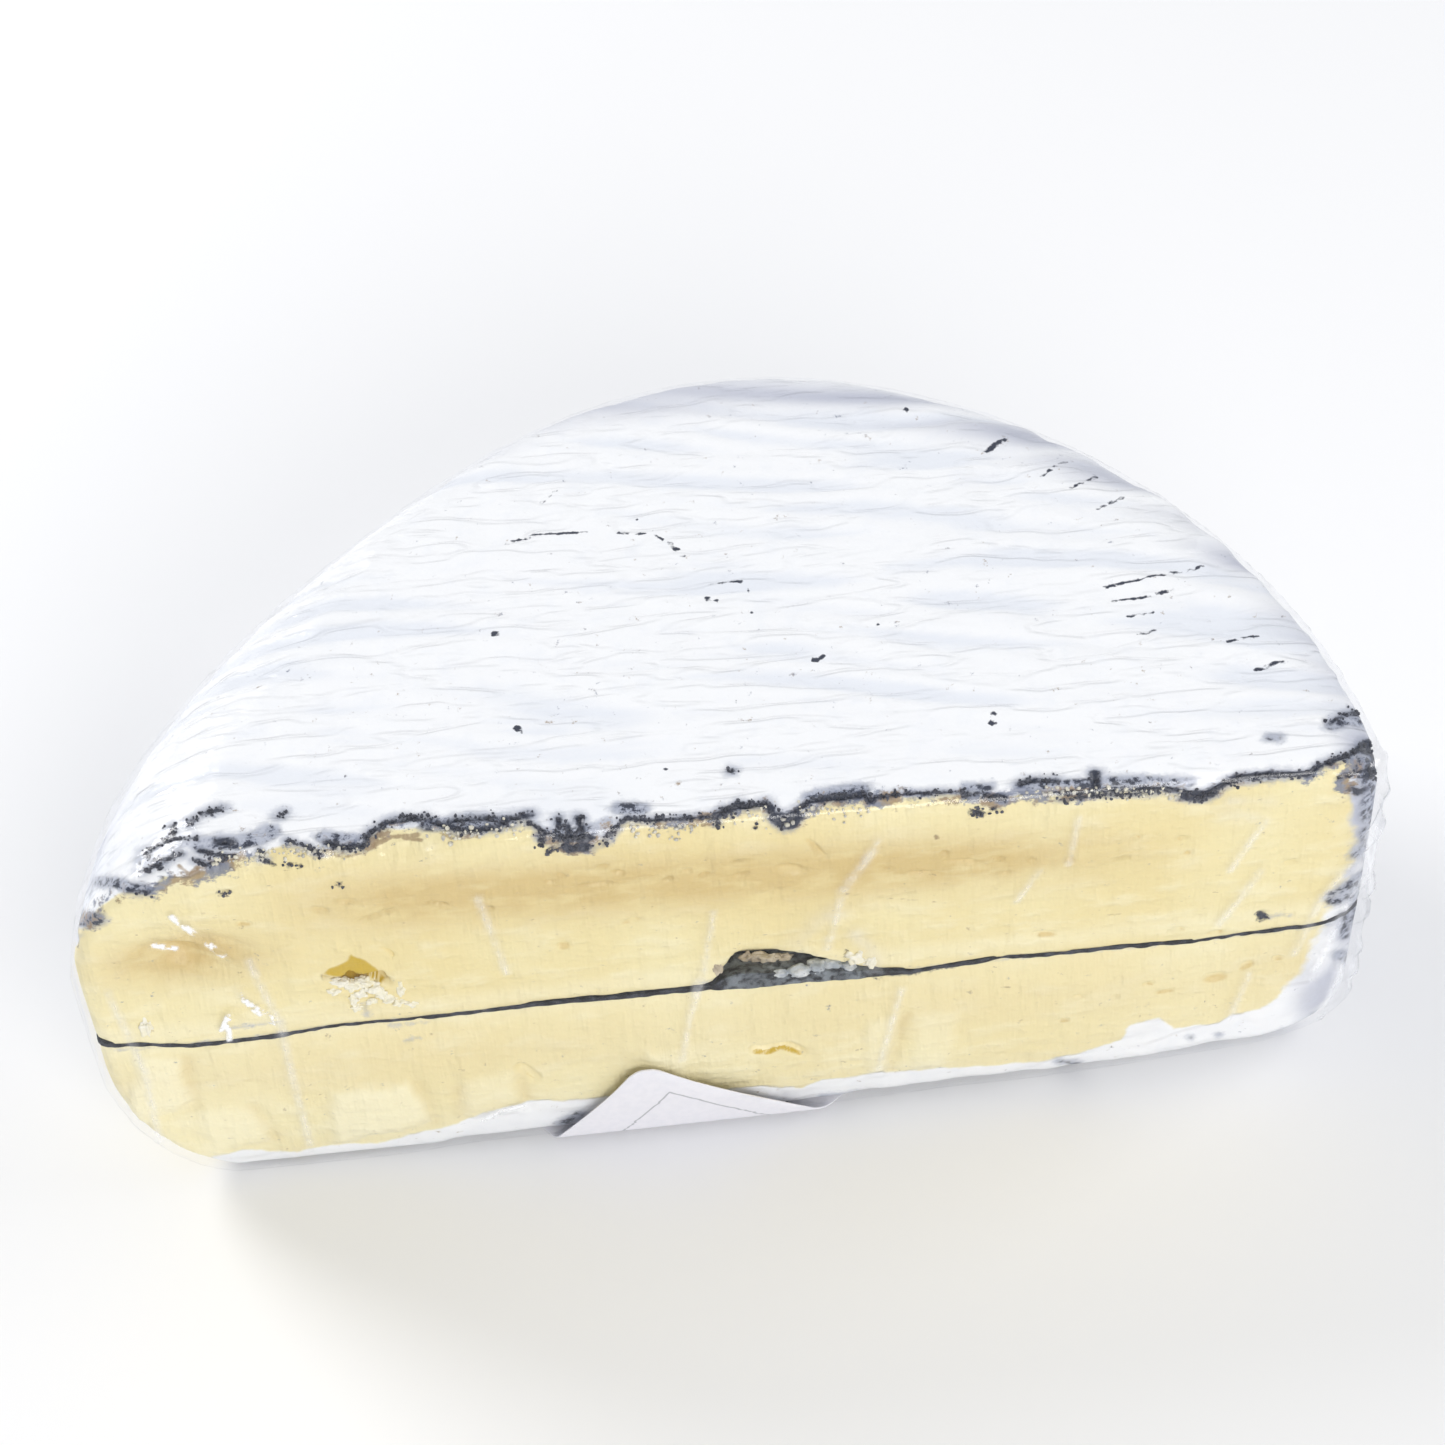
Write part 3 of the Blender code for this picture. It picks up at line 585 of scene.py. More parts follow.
topLook = {
    "specks": [
        (-32.6, 44.9, 0.8), (-30.1, 23.5, 0.75), (-29.6, 22.6, 0.4), (16.8, 33.6, 0.7), (17.9, 34.1, 0.6),
        (1.3, 49.1, 0.7), (2.6, 48.4, 0.5), (-2.7, 61.5, 0.6), (-1.8, 59.8, 0.5), (-3.6, 63.2, 0.4),
        (42.2, 16.5, 0.7), (42.6, 18.2, 0.5), (27.2, 40.2, 0.4), (27.1, 34.5, 0.45), (7.8, 45.3, 0.4),
        (8.4, 41.0, 0.3), (-56.5, 16.7, 0.4), (-53.5, 17.4, 0.35), (3.6, 25.4, 0.35), (-8.3, 12.2, 0.35),
        (1.7, 9.8, 0.3), (15.3, 12.5, 0.4), (16.8, 17.2, 0.35), (40.6, 56.4, 0.35), (38.3, 91.9, 0.55),
        (-23.9, 75.0, 0.3), (-6.4, 66.0, 0.3), (5.0, 55.0, 0.35), (8.0, 50.0, 0.4), (9.5, 38.0, 0.25),
        (-22.6, 29.0, 0.25), (-61.0, 40.0, 0.25), (-8.6, 69.5, 0.3), (28.8, 41.5, 0.25),
    ],
    # Dark streaks on the top: smears, and at the right rim, among the finger ridges, short dashes that are
    # partly painted shadow between the ridges.
    "streaks": [
        (0.35, [(-30.0, 66.0), (-24.0, 67.6), (-17.0, 67.2)]),
        (0.25, [(-12.0, 66.6), (-6.0, 65.2), (-3.0, 62.0)]),
        (0.3, [(64.0, 45.0), (70.0, 45.6), (76.0, 46.8)]),
        (0.3, [(64.5, 41.6), (70.0, 42.0), (75.0, 43.2)]), (0.3, [(66.5, 38.0), (71.0, 38.4)]),
        (0.35, [(67.5, 33.6), (70.5, 34.0)]), (0.25, [(77.0, 47.0), (81.0, 49.0)]),
        (0.3, [(58.0, 72.0), (63.0, 76.0)]), (0.3, [(62.0, 68.5), (67.5, 72.0)]),
        (0.3, [(66.0, 64.0), (71.0, 67.0)]), (0.4, [(50.0, 80.0), (54.0, 83.0)]),
        (0.35, [(81.0, 30.0), (86.0, 31.0)]), (0.3, [(84.0, 24.0), (89.0, 25.0)]),
        (0.25, [(-77.5, 10.6), (-77.5, 6.5)]), (0.25, [(-24.0, 75.0), (-21.0, 78.0)]),
        (0.2, [(2.0, 52.6), (7.0, 53.0), (8.4, 49.0)]),
    ],
    "hollowShade": 1.7,
    "bandShade": 1.4,
    "folds": 0.42,  # heights and depths in mm from here on
    "fineFolds": 0.12,
    "fingers": 0.28,
    "grit": 0.32,
    "lumps": 0.3,
    "inkDepth": 0.55,
    "slitDepth": 1.1,
    "pitDepth": 3.2,
}


def shapeUpper(piece):
    closeRim(piece, -1.0)
    sagLine(piece)
    look = topLook
    spots, normals = spotsOf(piece), normalsOf(piece)
    across, climb = onCutPlane(spots)
    x, y, z = spots.T
    facingUp = smoothStep(0.45, 0.8, normals[:, 2])
    facingOut = facingCut(normals, y)

    # wrinkles of the rind, which run along the cut and curl round at the left
    bend = 5.0 * rough(spots, (0.018, 0.022, 0.0), 4.0)
    flow = np.column_stack((x * 0.35 + y * 0.1, y + 0.14 * x + bend, z * 0.0))
    folds = 1.0 - 2.4 * np.abs(rough(flow, (0.075, 0.16, 0.0), 2.0))
    fine = 1.0 - 2.2 * np.abs(rough(flow, (0.2, 0.42, 0.0), 9.0))
    calm = 0.35 + 0.65 * smoothStep(4.0, 24.0, y)
    push = facingUp * calm * (look["folds"] * folds + look["fineFolds"] * fine)
    # Painted shade: the troughs of the folds are tinted lavender.
    shadeAndBlots = 0.5 * facingUp * calm * fade(-0.1, 0.55, 0.75 * folds + 0.25 * fine)

    # finger ridges near the right rim
    turn = np.arctan2(y + 1.2, x)
    rim = smoothStep(0.7, 0.86, np.hypot(x, y) / 105.0) * smoothStep(0.15, 0.35, turn) * fade(0.95, 1.2, turn)
    fingers = np.sin(turn * 46.0 + 5.0 * rough(spots, (0.03, 0.03, 0.0), 7.0))
    push += facingUp * rim * look["fingers"] * fingers

    # marks sink in, crumbs stand out along the top edge
    inside = insideOf(across, climb, pasteOutline)
    band = smoothStep(-2.6, -0.6, inside) * fade(1.0, 3.4, inside)
    band = band * smoothStep(60.0, 66.0, climb) * fade(8.0, 12.0, y)
    grit, lumps = rough(spots, (0.75, 0.75, 0.75), 3.0), rough(spots, (0.33, 0.33, 0.33), 1.0)
    push += band * (look["grit"] * grit + look["lumps"] * lumps)
    sunkInk = smoothStep(-0.3, 0.4, reachOf(across, climb, inkMarks)) * fade(10.0, 14.0, y)
    push -= look["inkDepth"] * sunkInk

    # slits and drag marks in the paste
    push -= facingOut * np.clip(eyeDepth(across, climb), 0.0, 0.6) * look["slitDepth"]
    push += facingOut * 0.1 * rough(spots, (0.09, 0.0, 0.5), 6.0)
    push += facingOut * 0.12 * rough(np.column_stack((x + 0.35 * z, y, z)), (0.32, 0.0, 0.07), 8.0)

    # the dented hollow at the left has faceted, dragged sides
    hx, hz = bodyLook["hollow"]
    hollow = np.exp(-(((x - hx) / 9.5) ** 2 + ((z - hz) / 5.2) ** 2))
    facets = np.abs(((x - hx) * 0.5 + (z - hz) * 0.9) % 6.0 - 3.0) / 3.0
    push -= facingOut * hollow * (0.6 + 1.3 * facets)

    spots = spots + normals * push[:, None]

    # the torn pit gets its jagged outline, sunk behind the face around it
    px, pz = bodyLook["pit"]
    around = np.hypot(x - px, z - pz)
    level = np.median(y[(around > 8.0) & (around < 10.0) & (y < 5.0)])
    jag = 0.5 * rough(spots, (0.8, 0.0, 0.8), 5.0)
    sunk = smoothStep(-0.35, 0.45, insideOf(across, climb, bodyLook["pitOutline"]) + jag)
    reach = (around < 8.0) & (y < level + 9.0) & (y > level - 3.0)
    shape = level + look["pitDepth"] * sunk + 0.3 * rough(spots, (0.5, 0.0, 0.5), 3.0)
    blend = np.where(reach, fade(6.0, 8.0, around), 0.0)
    spots[:, 1] += blend * (shape - spots[:, 1])

    # the foot closes on the ash, apart from the open gap
    opening = smoothStep(-6.5, -3.5, x) * fade(24.0, 30.0, x)
    foot = fade(0.4, 2.2, z - lineLevel(x)) * fade(4.0, 9.0, y) * (1.0 - opening)
    ragged = 0.16 * rough(spots, (0.25, 0.0, 0.0), 2.0) + 0.14 * rough(spots, (0.9, 0.0, 0.0), 4.0)
    spots[:, 2] -= foot * (0.6 + ragged)
    setSpots(piece, spots)

    # painted shade towards the far rim, and grey at the right end of the cut
    rimShadeAndGrey = smoothStep(0.87, 0.97, np.hypot(x, y) / 104.5) * smoothStep(8.0, 22.0, y)
    rimShadeAndGrey = np.clip(rimShadeAndGrey * (0.55 + 0.9 * rough(flow, (0.05, 0.22, 0.0), 31.0)), 0.0, 1.0)
    rightEnd = np.clip(0.85 + 0.9 * rough(spots, (0.2, 0.2, 0.12), 11.0), 0.0, 1.0)
    rightEnd = rightEnd * smoothStep(91.0, 96.0, x) * fade(6.0, 20.0, y) * smoothStep(38.0, 46.0, z)
    keepField(piece, "rimShadeAndGrey", np.maximum(rimShadeAndGrey * smoothStep(20.0, 50.0, z), rightEnd))
    # Painted shade on the sides that face away from the top, mixed with grey blotches.
    keepField(piece, "shadeAndBlots", shadeAndBlots + (y > 6.0) * (1.0 - facingUp) * blotches(spots, 0.5))


shapeUpper(upperLayer)
spots, normals, across, climb = paintBody(upperLayer)
x, y, z = spots.T
onTop = (normals[:, 2] > 0.3) & (z > 60.0)
specks = [(half, [(sx, sy)]) for sx, sy, half in topLook["specks"]]
keepField(upperLayer, "specks", np.where(onTop, reachOf(x, y, specks + topLook["streaks"]), -3.0))
px, pz = bodyLook["pit"]
inPit = (np.hypot(x - px, z - pz) < 9.0) & (y < 12.0)
keepField(upperLayer, "gold", np.where(inPit, insideOf(across, climb, bodyLook["pitOutline"]), -3.0))
# Painted shade: the dented hollow and a band across the upper paste are darkened tan.
hx, hz = bodyLook["hollow"]
tanAndShade = topLook["hollowShade"] * np.exp(-(((x - hx) / 11.0) ** 2 + ((z - hz) / 5.0) ** 2))
bandHeight = 61.5 - 0.06 * (x + 20.0)
alongBand = smoothStep(-78.0, -45.0, x) * fade(30.0, 80.0, x)
tanAndShade += topLook["bandShade"] * np.exp(-(((z - bandHeight) / 6.5) ** 2)) * alongBand
keepField(upperLayer, "tanAndShade", tanAndShade)
# A pale line of paste just above the ash line.
keepField(upperLayer, "paleAndLit", 0.6 * np.exp(-(((z - 37.4) / 2.6) ** 2)) * (y < 7.0))
print("upper layer shaped")


# Relief of the lower layer: knife steps, notches and the rounded foot

stepLook = {
    "raised": [
        (0.55, [(-67.5, 19.5), (-54.2, 19.5), (-52.6, 9.0), (-68.0, 6.5)]),
        (0.45, [(-96.0, 33.0), (-89.0, 32.0), (-89.5, 21.0), (-99.0, 17.0)]),
        (0.4, [(-89.0, 19.0), (-80.0, 18.0), (-78.0, 9.0), (-88.0, 7.5)]),
        (0.3, [(-46.8, 18.5), (-37.5, 20.0), (-37.0, 9.0), (-46.8, 9.0)]),
        (0.35, [(-16.0, 21.0), (-10.6, 20.0), (-8.5, 10.0), (-15.0, 10.0)]),
        (0.35, [(19.6, 22.5), (25.0, 23.5), (22.0, 9.0), (19.2, 9.0)]),
        (0.3, [(27.6, 22.0), (34.5, 22.5), (31.5, 10.0), (26.8, 10.0)]),
    ],
    "notch": [(1.6, 18.4), (3.4, 17.9), (5.6, 19.0), (8.4, 16.8)],
    "smallNotch": [(-36.4, 20.4), (-34.4, 17.6)],
    "shades": [
        (1.0, [(-88.4, 31.7), (-89.3, 20.3)]), (1.1, [(-53.4, 19.0), (-52.0, 9.5)]),
        (0.9, [(-46.9, 17.0), (-47.2, 9.5)]), (0.9, [(-80.2, 17.5), (-78.0, 9.5)]),
        (0.8, [(-36.6, 19.0), (-36.4, 10.0)]), (0.8, [(25.6, 23.0), (22.6, 10.0)]),
    ],
    "lift": 1.5,  # times the heights above, then depths in mm
    "shadeDepth": 0.5,
    "notchDepth": 1.3,
    "smallNotchDepth": 0.9,
    "lowest": 0.95,
}


def stepHeight(across, climb):
    height = np.zeros(len(across))
    flat = np.column_stack((across, climb, climb * 0.0))
    across = across + 1.5 * rough(flat, (0.16, 0.16, 0.0), 3.0) + 0.5 * rough(flat, (0.6, 0.6, 0.0), 5.0)
    climb = climb + 1.3 * rough(flat, (0.14, 0.14, 0.0), 13.0) + 0.5 * rough(flat, (0.6, 0.6, 0.0), 15.0)
    for rise, corners in stepLook["raised"]:
        height = np.maximum(height, rise * smoothStep(-1.3, 1.3, insideOf(across, climb, corners)))
    return height


def shapeLower(piece):
    closeRim(piece, 1.0)
    sagLine(piece)
    look = stepLook
    spots, normals = spotsOf(piece), normalsOf(piece)
    across, climb = onCutPlane(spots)
    x, y, z = spots.T
    facingOut = facingCut(normals, y)
    push = look["lift"] * stepHeight(across, climb) - 0.25
    push -= look["shadeDepth"] * softStrokes(across, climb, look["shades"])
    push -= np.clip(eyeDepth(across, climb), 0.0, 0.6)
    push += 0.14 * rough(np.column_stack((x + 0.3 * z, y, z)), (0.22, 0.0, 0.06), 8.0)
    push += 0.1 * rough(spots, (0.08, 0.0, 0.45), 6.0)
    bite = nearLine(across, climb, look["notch"])
    push -= look["notchDepth"] * fade(0.1, 1.7, bite) * (climb < 19.6)
    bite = nearLine(across, climb, look["smallNotch"])
    push -= look["smallNotchDepth"] * fade(0.1, 1.6, bite)
    push = facingOut * push + fade(6.0, 12.0, z) * (z > 1.6) * 0.4 * rough(spots, (0.16, 0.16, 0.16), 5.0)
    spots = spots + normals * push[:, None]
    lip = smoothStep(-2.4, -0.6, z - lineLevel(x)) * fade(4.0, 9.0, y)
    spots[:, 2] += lip * (0.6 + 0.14 * rough(spots, (0.3, 0.0, 0.0), 12.0))
    spots[:, 2] = np.maximum(spots[:, 2], look["lowest"])
    setSpots(piece, spots)


shapeLower(lowerLayer)
spots, normals, across, climb = paintBody(lowerLayer)
x, y, z = spots.T
keepField(lowerLayer, "specks", np.full(len(spots), -3.0))
rightEnd = smoothStep(84.0, 93.0, across) * fade(6.0, 20.0, y)
patchy = np.clip(0.42 + 1.1 * rough(spots, (0.16, 0.16, 0.1), 19.0), 0.0, 0.9)
# Grey patches at the right end of the lower layer's cut.
keepField(lowerLayer, "rimShadeAndGrey", rightEnd * patchy)
# Painted shade and grey blotches on the lower layer's rind, weaker on the band at the front of the cut.
keepField(lowerLayer, "shadeAndBlots", (0.12 + 0.88 * smoothStep(4.0, 9.0, y)) * blotches(spots, 0.55))
bite = nearLine(across, climb, stepLook["notch"])
bite = np.minimum(bite, nearLine(across, climb, stepLook["smallNotch"]) + 0.5)
keepField(lowerLayer, "gold", np.where(climb < 19.4, 0.9 - bite, -3.0))
onCut = y < 6.0
# A tan band at mid height of the lower paste, and painted shade along the edges of the knife steps.
shades = 0.5 * softStrokes(across, climb, stepLook["shades"]) * onCut
keepField(lowerLayer, "tanAndShade", 0.35 * np.exp(-(((z - 25.0) / 6.0) ** 2)) + shades)
# Painted light: the paste just under the ash line and the raised knife steps are made paler.
underLine = 0.8 * np.exp(-(((z - 35.4) / 2.2) ** 2)) * (y < 7.0)
keepField(lowerLayer, "paleAndLit", 0.3 + underLine + 1.5 * stepHeight(across, climb) * onCut)
print("lower layer shaped")


# The ash between them, raised into grey mould in the open gap

def shapeAsh(piece):
    splitFaces(piece, 2)
    centres, normals = facesOf(piece)
    splitFaces(piece, 2, centres[:, 1] < 9.0)
    spots = spotsOf(piece)
    x, y, z = spots.T
    inGap = smoothStep(-6.0, -3.0, x) * fade(21.0, 26.0, x) * fade(6.0, 10.0, y)
    over = smoothStep(0.0, 0.5, z - lineLevel(x) - sagOf(x))
    spots[:, 2] += 0.12 * rough(spots, (0.4, 0.4, 0.0), 3.0)
    spots[:, 2] += inGap * over * (0.5 * rough(spots, (0.35, 0.35, 0.0), 6.0) + 0.3)
    spots[:, 1] += 0.25 * rough(spots, (0.5, 0.0, 0.3), 8.0) * (y < 3.0) + 0.15
    setSpots(piece, spots)
    tuckRim(piece)
    patches = rough(spots, (0.25, 0.25, 0.0), 17.0)
    keepField(piece, "mouldy", inGap * np.clip(0.6 + 1.2 * patches, 0.0, 1.0))
    sagLine(piece)
    piece.data.shade_smooth()


shapeAsh(ashLayer)
print("ash sheet shaped,", trianglesOf(ashLayer))


def surfaceOf(*pieces):
    trees = []
    for piece in pieces:
        corners = [point.co for point in piece.data.vertices]
        trees.append(BVHTree.FromPolygons(corners, [face.vertices[:] for face in piece.data.polygons]))
    return trees


# Where a line from the camera's place through a spot of the cut plane meets the food.
def landOn(trees, across, climb):
    eye = (np.array(eyeSpot) + cutMiddle) / 1000.0
    aim = (np.array((across, 0.0, climb)) + cutMiddle) / 1000.0
    away = Vector(aim - eye).normalized()
    hits = [tree.ray_cast(Vector(eye), away) for tree in trees]
    hits = [hit for hit in hits if hit[0] is not None]
    return min(hits, key=lambda hit: hit[3]) if hits else None


def roundLump(centre, size, seed, roughness):
    bpy.ops.object.select_all(action="DESELECT")
    place = Vector((np.array(centre) + cutMiddle) / 1000.0)
    bpy.ops.mesh.primitive_ico_sphere_add(subdivisions=4, radius=1.0, location=(0, 0, 0))
    lump = bpy.context.object
    for point in lump.data.vertices:
        swell = 1.0 + roughness * noise.noise(point.co * 1.3 + Vector((seed, 0.0, 2.0)))
        swell += 0.4 * roughness * noise.noise(point.co * 3.4 + Vector((seed, 5.0, 0.0)))
        spot = Vector((point.co.x * size[0], point.co.y * size[1], point.co.z * size[2])) * swell / 1000.0
        point.co = spot + place
    lump.data.shade_smooth()
    return lump


def joined(lumps, name):
    bpy.ops.object.select_all(action="DESELECT")
    for lump in lumps:
        lump.select_set(True)
    bpy.context.view_layer.objects.active = lumps[0]
    bpy.ops.object.join()
    lumps[0].name = name
    lumps[0].data.name = name
    return lumps[0]


# Lumps by their place on the cut, half width and half height, and in the mould their depth
curdLook = {
    "mould": [
        (9.2, 37.2, 1.8, 1.1, 1.0), (12.3, 37.9, 1.5, 1.0, 1.2), (14.6, 37.9, 1.6, 1.1, 1.2),
        (17.0, 37.0, 1.4, 0.9, 1.0), (6.4, 37.2, 1.3, 0.7, 0.6),
    ],
    "curds": [
        (18.3, 39.3, 1.35, 1.7), (20.4, 37.8, 0.9, 1.3), (-61.8, 46.6, 1.3, 0.8), (-59.9, 45.3, 1.2, 1.0),
        (-58.0, 45.9, 1.5, 1.0), (-56.9, 44.2, 1.3, 1.1), (-58.9, 43.6, 1.3, 0.9), (-56.0, 42.7, 1.3, 1.1),
        (-54.7, 41.3, 1.2, 0.8), (-60.3, 42.2, 0.9, 1.3), (-60.0, 40.4, 1.0, 0.6), (-53.4, 40.3, 1.0, 0.7),
        (-51.5, 39.8, 0.9, 0.5), (-52.6, 43.6, 0.7, 1.5), (-57.8, 41.4, 0.9, 0.7), (-92.8, 40.6, 0.9, 2.0),
        (-63.0, 44.6, 1.1, 0.6),
    ],
    "flap": [
        (1.2, 41.6, 1.1, 1.2), (2.8, 41.2, 1.6, 1.4), (4.8, 40.8, 1.7, 1.2), (6.9, 40.8, 1.5, 0.8),
        (-3.4, 40.0, 0.8, 1.2),
    ],
}

faceTrees = surfaceOf(upperLayer, lowerLayer, ashLayer)


def lumpsOnFace(name, rows, deep, seedStep, roughness):
    lumps = []
    for k, (across, climb, wide, tall, *own) in enumerate(rows):
        depth = own[0] if own else deep
        spot = np.array(landOn(faceTrees, across, climb)[0]) * 1000.0 - cutMiddle
        spot = spot + (0.0, 0.25 * depth, 0.0)
        lumps.append(roundLump(spot, (wide, depth, tall), k * seedStep, roughness))
    return joined(lumps, name)


mouldLumps = lumpsOnFace("mouldLumps", curdLook["mould"], 1.0, 3.1, 0.35)
curdLumps = lumpsOnFace("curdLumps", curdLook["curds"], 0.75, 2.3, 0.75)
flapLumps = lumpsOnFace("pasteFlap", curdLook["flap"], 0.7, 1.7, 0.6)
print("lumps made")


# Ash crumbs along the top edge

crumbLook = {
    "seed": 14,
    "ashCount": 1500,
    "ashSize": (0.12, 0.34),  # radii in mm
    "ashSpread": 0.32,
    "paleCount": 260,
    "paleSize": (0.14, 0.4),
    "paleSpread": 0.45,
    "paleEdge": [
        (1.0, [(2.6, 74.1), (4.7, 74.8), (6.7, 73.0)]),
        (0.7, [(10.5, 72.9), (13.3, 74.4), (16.7, 73.4), (20.5, 72.3)]),
        (0.6, [(-14.6, 74.3), (-9.5, 73.0), (-4.3, 73.1)]),
        (0.6, [(-44.0, 78.0), (-36.0, 77.2), (-30.0, 77.4)]),
        (0.6, [(44.0, 73.2), (56.0, 71.6), (68.0, 69.0)]),
        (0.6, [(-76.0, 77.0), (-64.0, 78.0), (-56.0, 76.0)]),
    ],
}


def alongStroke(points, share):
    if len(points) == 1:
        return points[0]
    lengths = [math.dist(a, b) for a, b in zip(points, points[1:])]
    left = share * sum(lengths)
    for a, b, length in zip(points, points[1:], lengths):
        if left <= length:
            part = left / max(length, 1e-9)
            return a[0] + (b[0] - a[0]) * part, a[1] + (b[1] - a[1]) * part
        left -= length
    return points[-1]


def scatterCrumbs(name, strokes, howMany, sizes, spread, seed):
    dice = random.Random(seed)
    trees = surfaceOf(upperLayer, lowerLayer)
    bpy.ops.object.select_all(action="DESELECT")
    bpy.ops.mesh.primitive_ico_sphere_add(subdivisions=1, radius=1.0)
    pattern = bpy.context.object
    corners = np.array([v.co[:] for v in pattern.data.vertices])
    faces = np.array([f.vertices[:] for f in pattern.data.polygons])
    bpy.data.objects.remove(pattern)
    weights = [sum(math.dist(a, b) for a, b in zip(p, p[1:])) + 1.0 for half, p in strokes]
    allCorners, allFaces = [], []
    for k in range(howMany):
        half, points = dice.choices(strokes, weights)[0]
        across, climb = alongStroke(points, dice.random())
        across += dice.gauss(0.0, half * 0.6 + spread)
        climb += dice.gauss(0.0, half * 0.6 + spread)
        hit = landOn(trees, across, climb)
        if hit is None:
            continue
        size = dice.uniform(*sizes) / 1000.0
        stretch = np.array([dice.uniform(0.6, 1.3) for axis in range(3)])
        jitter = np.array([[dice.uniform(0.75, 1.2)] for corner in corners])
        place = np.array(hit[0]) + np.array(hit[1]) * size * 0.35
        allFaces.append(faces + len(allCorners) * len(corners))
        allCorners.append(corners * jitter * stretch * size + place)
    mesh = bpy.data.meshes.new(name)
    mesh.from_pydata(np.vstack(allCorners).tolist(), [], np.vstack(allFaces).tolist())
    piece = bpy.data.objects.new(name, mesh)
    scene.collection.objects.link(piece)
    mesh.shade_smooth()
    return piece


look = crumbLook
topStrokes = [stroke for stroke in inkMarks if min(z for x, z in stroke[1]) > paintLook["topFrom"]]
ashCrumbs = scatterCrumbs(
    "ashCrumbs", topStrokes, look["ashCount"], look["ashSize"], look["ashSpread"], look["seed"])
paleCrumbs = scatterCrumbs(
    "paleCrumbs", look["paleEdge"], look["paleCount"], look["paleSize"], look["paleSpread"], look["seed"] + 1)
print("crumbs laid,", trianglesOf(ashCrumbs) + trianglesOf(paleCrumbs))


# The cling film: one closed wall over the CAD film's outside, creased where it is pulled.
filmLook = {
    "grain": 0.0013,
    "creases": [
        (0.45, [(-72.4, 39.4), (-72.4, 26.5), (-72.3, 5.3)]),
        (0.4, [(-74.7, 53.9), (-73.6, 46.3), (-71.9, 36.6)]), (0.4, [(-38.5, 62.6), (-36.1, 44.7)]),
        (0.35, [(-6.9, 37.9), (-10.5, 18.3)]), (0.35, [(-3.3, 53.6), (-5.9, 38.3), (-8.0, 30.6)]),
        (0.5, [(21.7, 63.9), (16.7, 55.3), (13.9, 42.4)]), (0.35, [(22.4, 65.8), (16.1, 55.2)]),
        (0.4, [(25.2, 30.1), (21.1, 10.3)]), (0.35, [(47.0, 55.1), (43.5, 48.5)]),
        (0.35, [(53.0, 66.6), (51.5, 55.9)]), (0.4, [(81.7, 61.2), (76.7, 50.4)]),
        (0.45, [(81.5, 49.3), (75.5, 37.6)]), (0.4, [(81.1, 24.9), (78.5, 13.9)]),
        (0.55, [(98.1, 49.2), (95.1, 37.7), (91.3, 21.8)]),
        (0.45, [(95.9, 49.6), (91.7, 41.7), (88.1, 28.6)]), (0.4, [(96.3, 27.2), (93.4, 11.4)]),
        (0.4, [(-97.0, 50.0), (-95.0, 30.0), (-96.0, 12.0)]),
    ],
    "veils": [
        (1.4, [(8.9, 44.7), (11.9, 48.6), (15.5, 50.5)]),
        (1.0, [(18.2, 45.2), (20.6, 40.8), (21.1, 36.7)]), (1.2, [(75.6, 63.7), (80.3, 62.0)]),
        (1.0, [(67.0, 13.7), (64.3, 12.0)]),
        (1.2, [(97.5, 60.0), (99.0, 46.0), (99.4, 30.0), (99.6, 12.0)]),
        (0.8, [(75.8, 66.3), (82.5, 65.2)]),
    ],
    "glints": [
        (0.55, [(-84.3, 65.9), (-81.3, 61.0), (-78.3, 56.0)]), (0.6, [(-88.0, 60.0), (-85.2, 58.7)]),
        (0.45, [(-77.3, 46.6), (-75.8, 42.3), (-73.2, 38.7)]),
        (0.4, [(-81.5, 38.2), (-79.9, 41.7), (-80.7, 35.5)]), (0.4, [(-77.0, 44.9), (-73.3, 40.3)]),
        (0.45, [(-85.4, 24.6)]), (0.35, [(-43.9, 8.4), (-40.1, 10.3), (-35.3, 11.1)]),
        (0.4, [(-77.6, 2.8)]), (0.6, [(100.6, 40.3)]), (0.5, [(99.5, 26.7)]),
        (0.4, [(-78.1, 83.3), (-73.9, 83.9), (-68.9, 83.8), (-61.1, 83.6)]),
    ],
    "creaseRise": 0.35,  # heights in mm
    "glintRise": 0.3,
    "veilRise": 0.2,
    "pleatRise": 0.5,
    "rightRise": 0.8,
    "underRise": 0.25,
}


clingFilm = copyOfNode("film_wrap", "clingFilm")
centres, normals = facesOf(clingFilm)
selectFaces(clingFilm, ((centres - np.array((0.0, 38.0, 38.5))) * normals).sum(axis=1) < 0.0)
bpy.ops.mesh.delete(type="FACE")
bpy.ops.mesh.select_all(action="SELECT")
bpy.ops.mesh.fill_holes(sides=0)
bpy.ops.object.mode_set(mode="OBJECT")
applyModifier(clingFilm, "REMESH", mode="VOXEL", voxel_size=filmLook["grain"], use_smooth_shade=True)
applyModifier(clingFilm, "SMOOTH", factor=0.5, iterations=2)
centres, normals = facesOf(clingFilm)
splitFaces(clingFilm, 1, (normals[:, 1] < -0.4) & (centres[:, 1] < 4.0))
clingFilm.data.shade_smooth()
print("film meshed,", trianglesOf(clingFilm))

look = filmLook
spots, normals = spotsOf(clingFilm), normalsOf(clingFilm)
across, climb = onCutPlane(spots)
x, y, z = spots.T
front = fade(4.0, 8.0, y)
side = smoothStep(0.5, 0.8, np.hypot(normals[:, 0], normals[:, 1])) * smoothStep(3.0, 10.0, y)
turn = np.arctan2(y + 1.2, x)
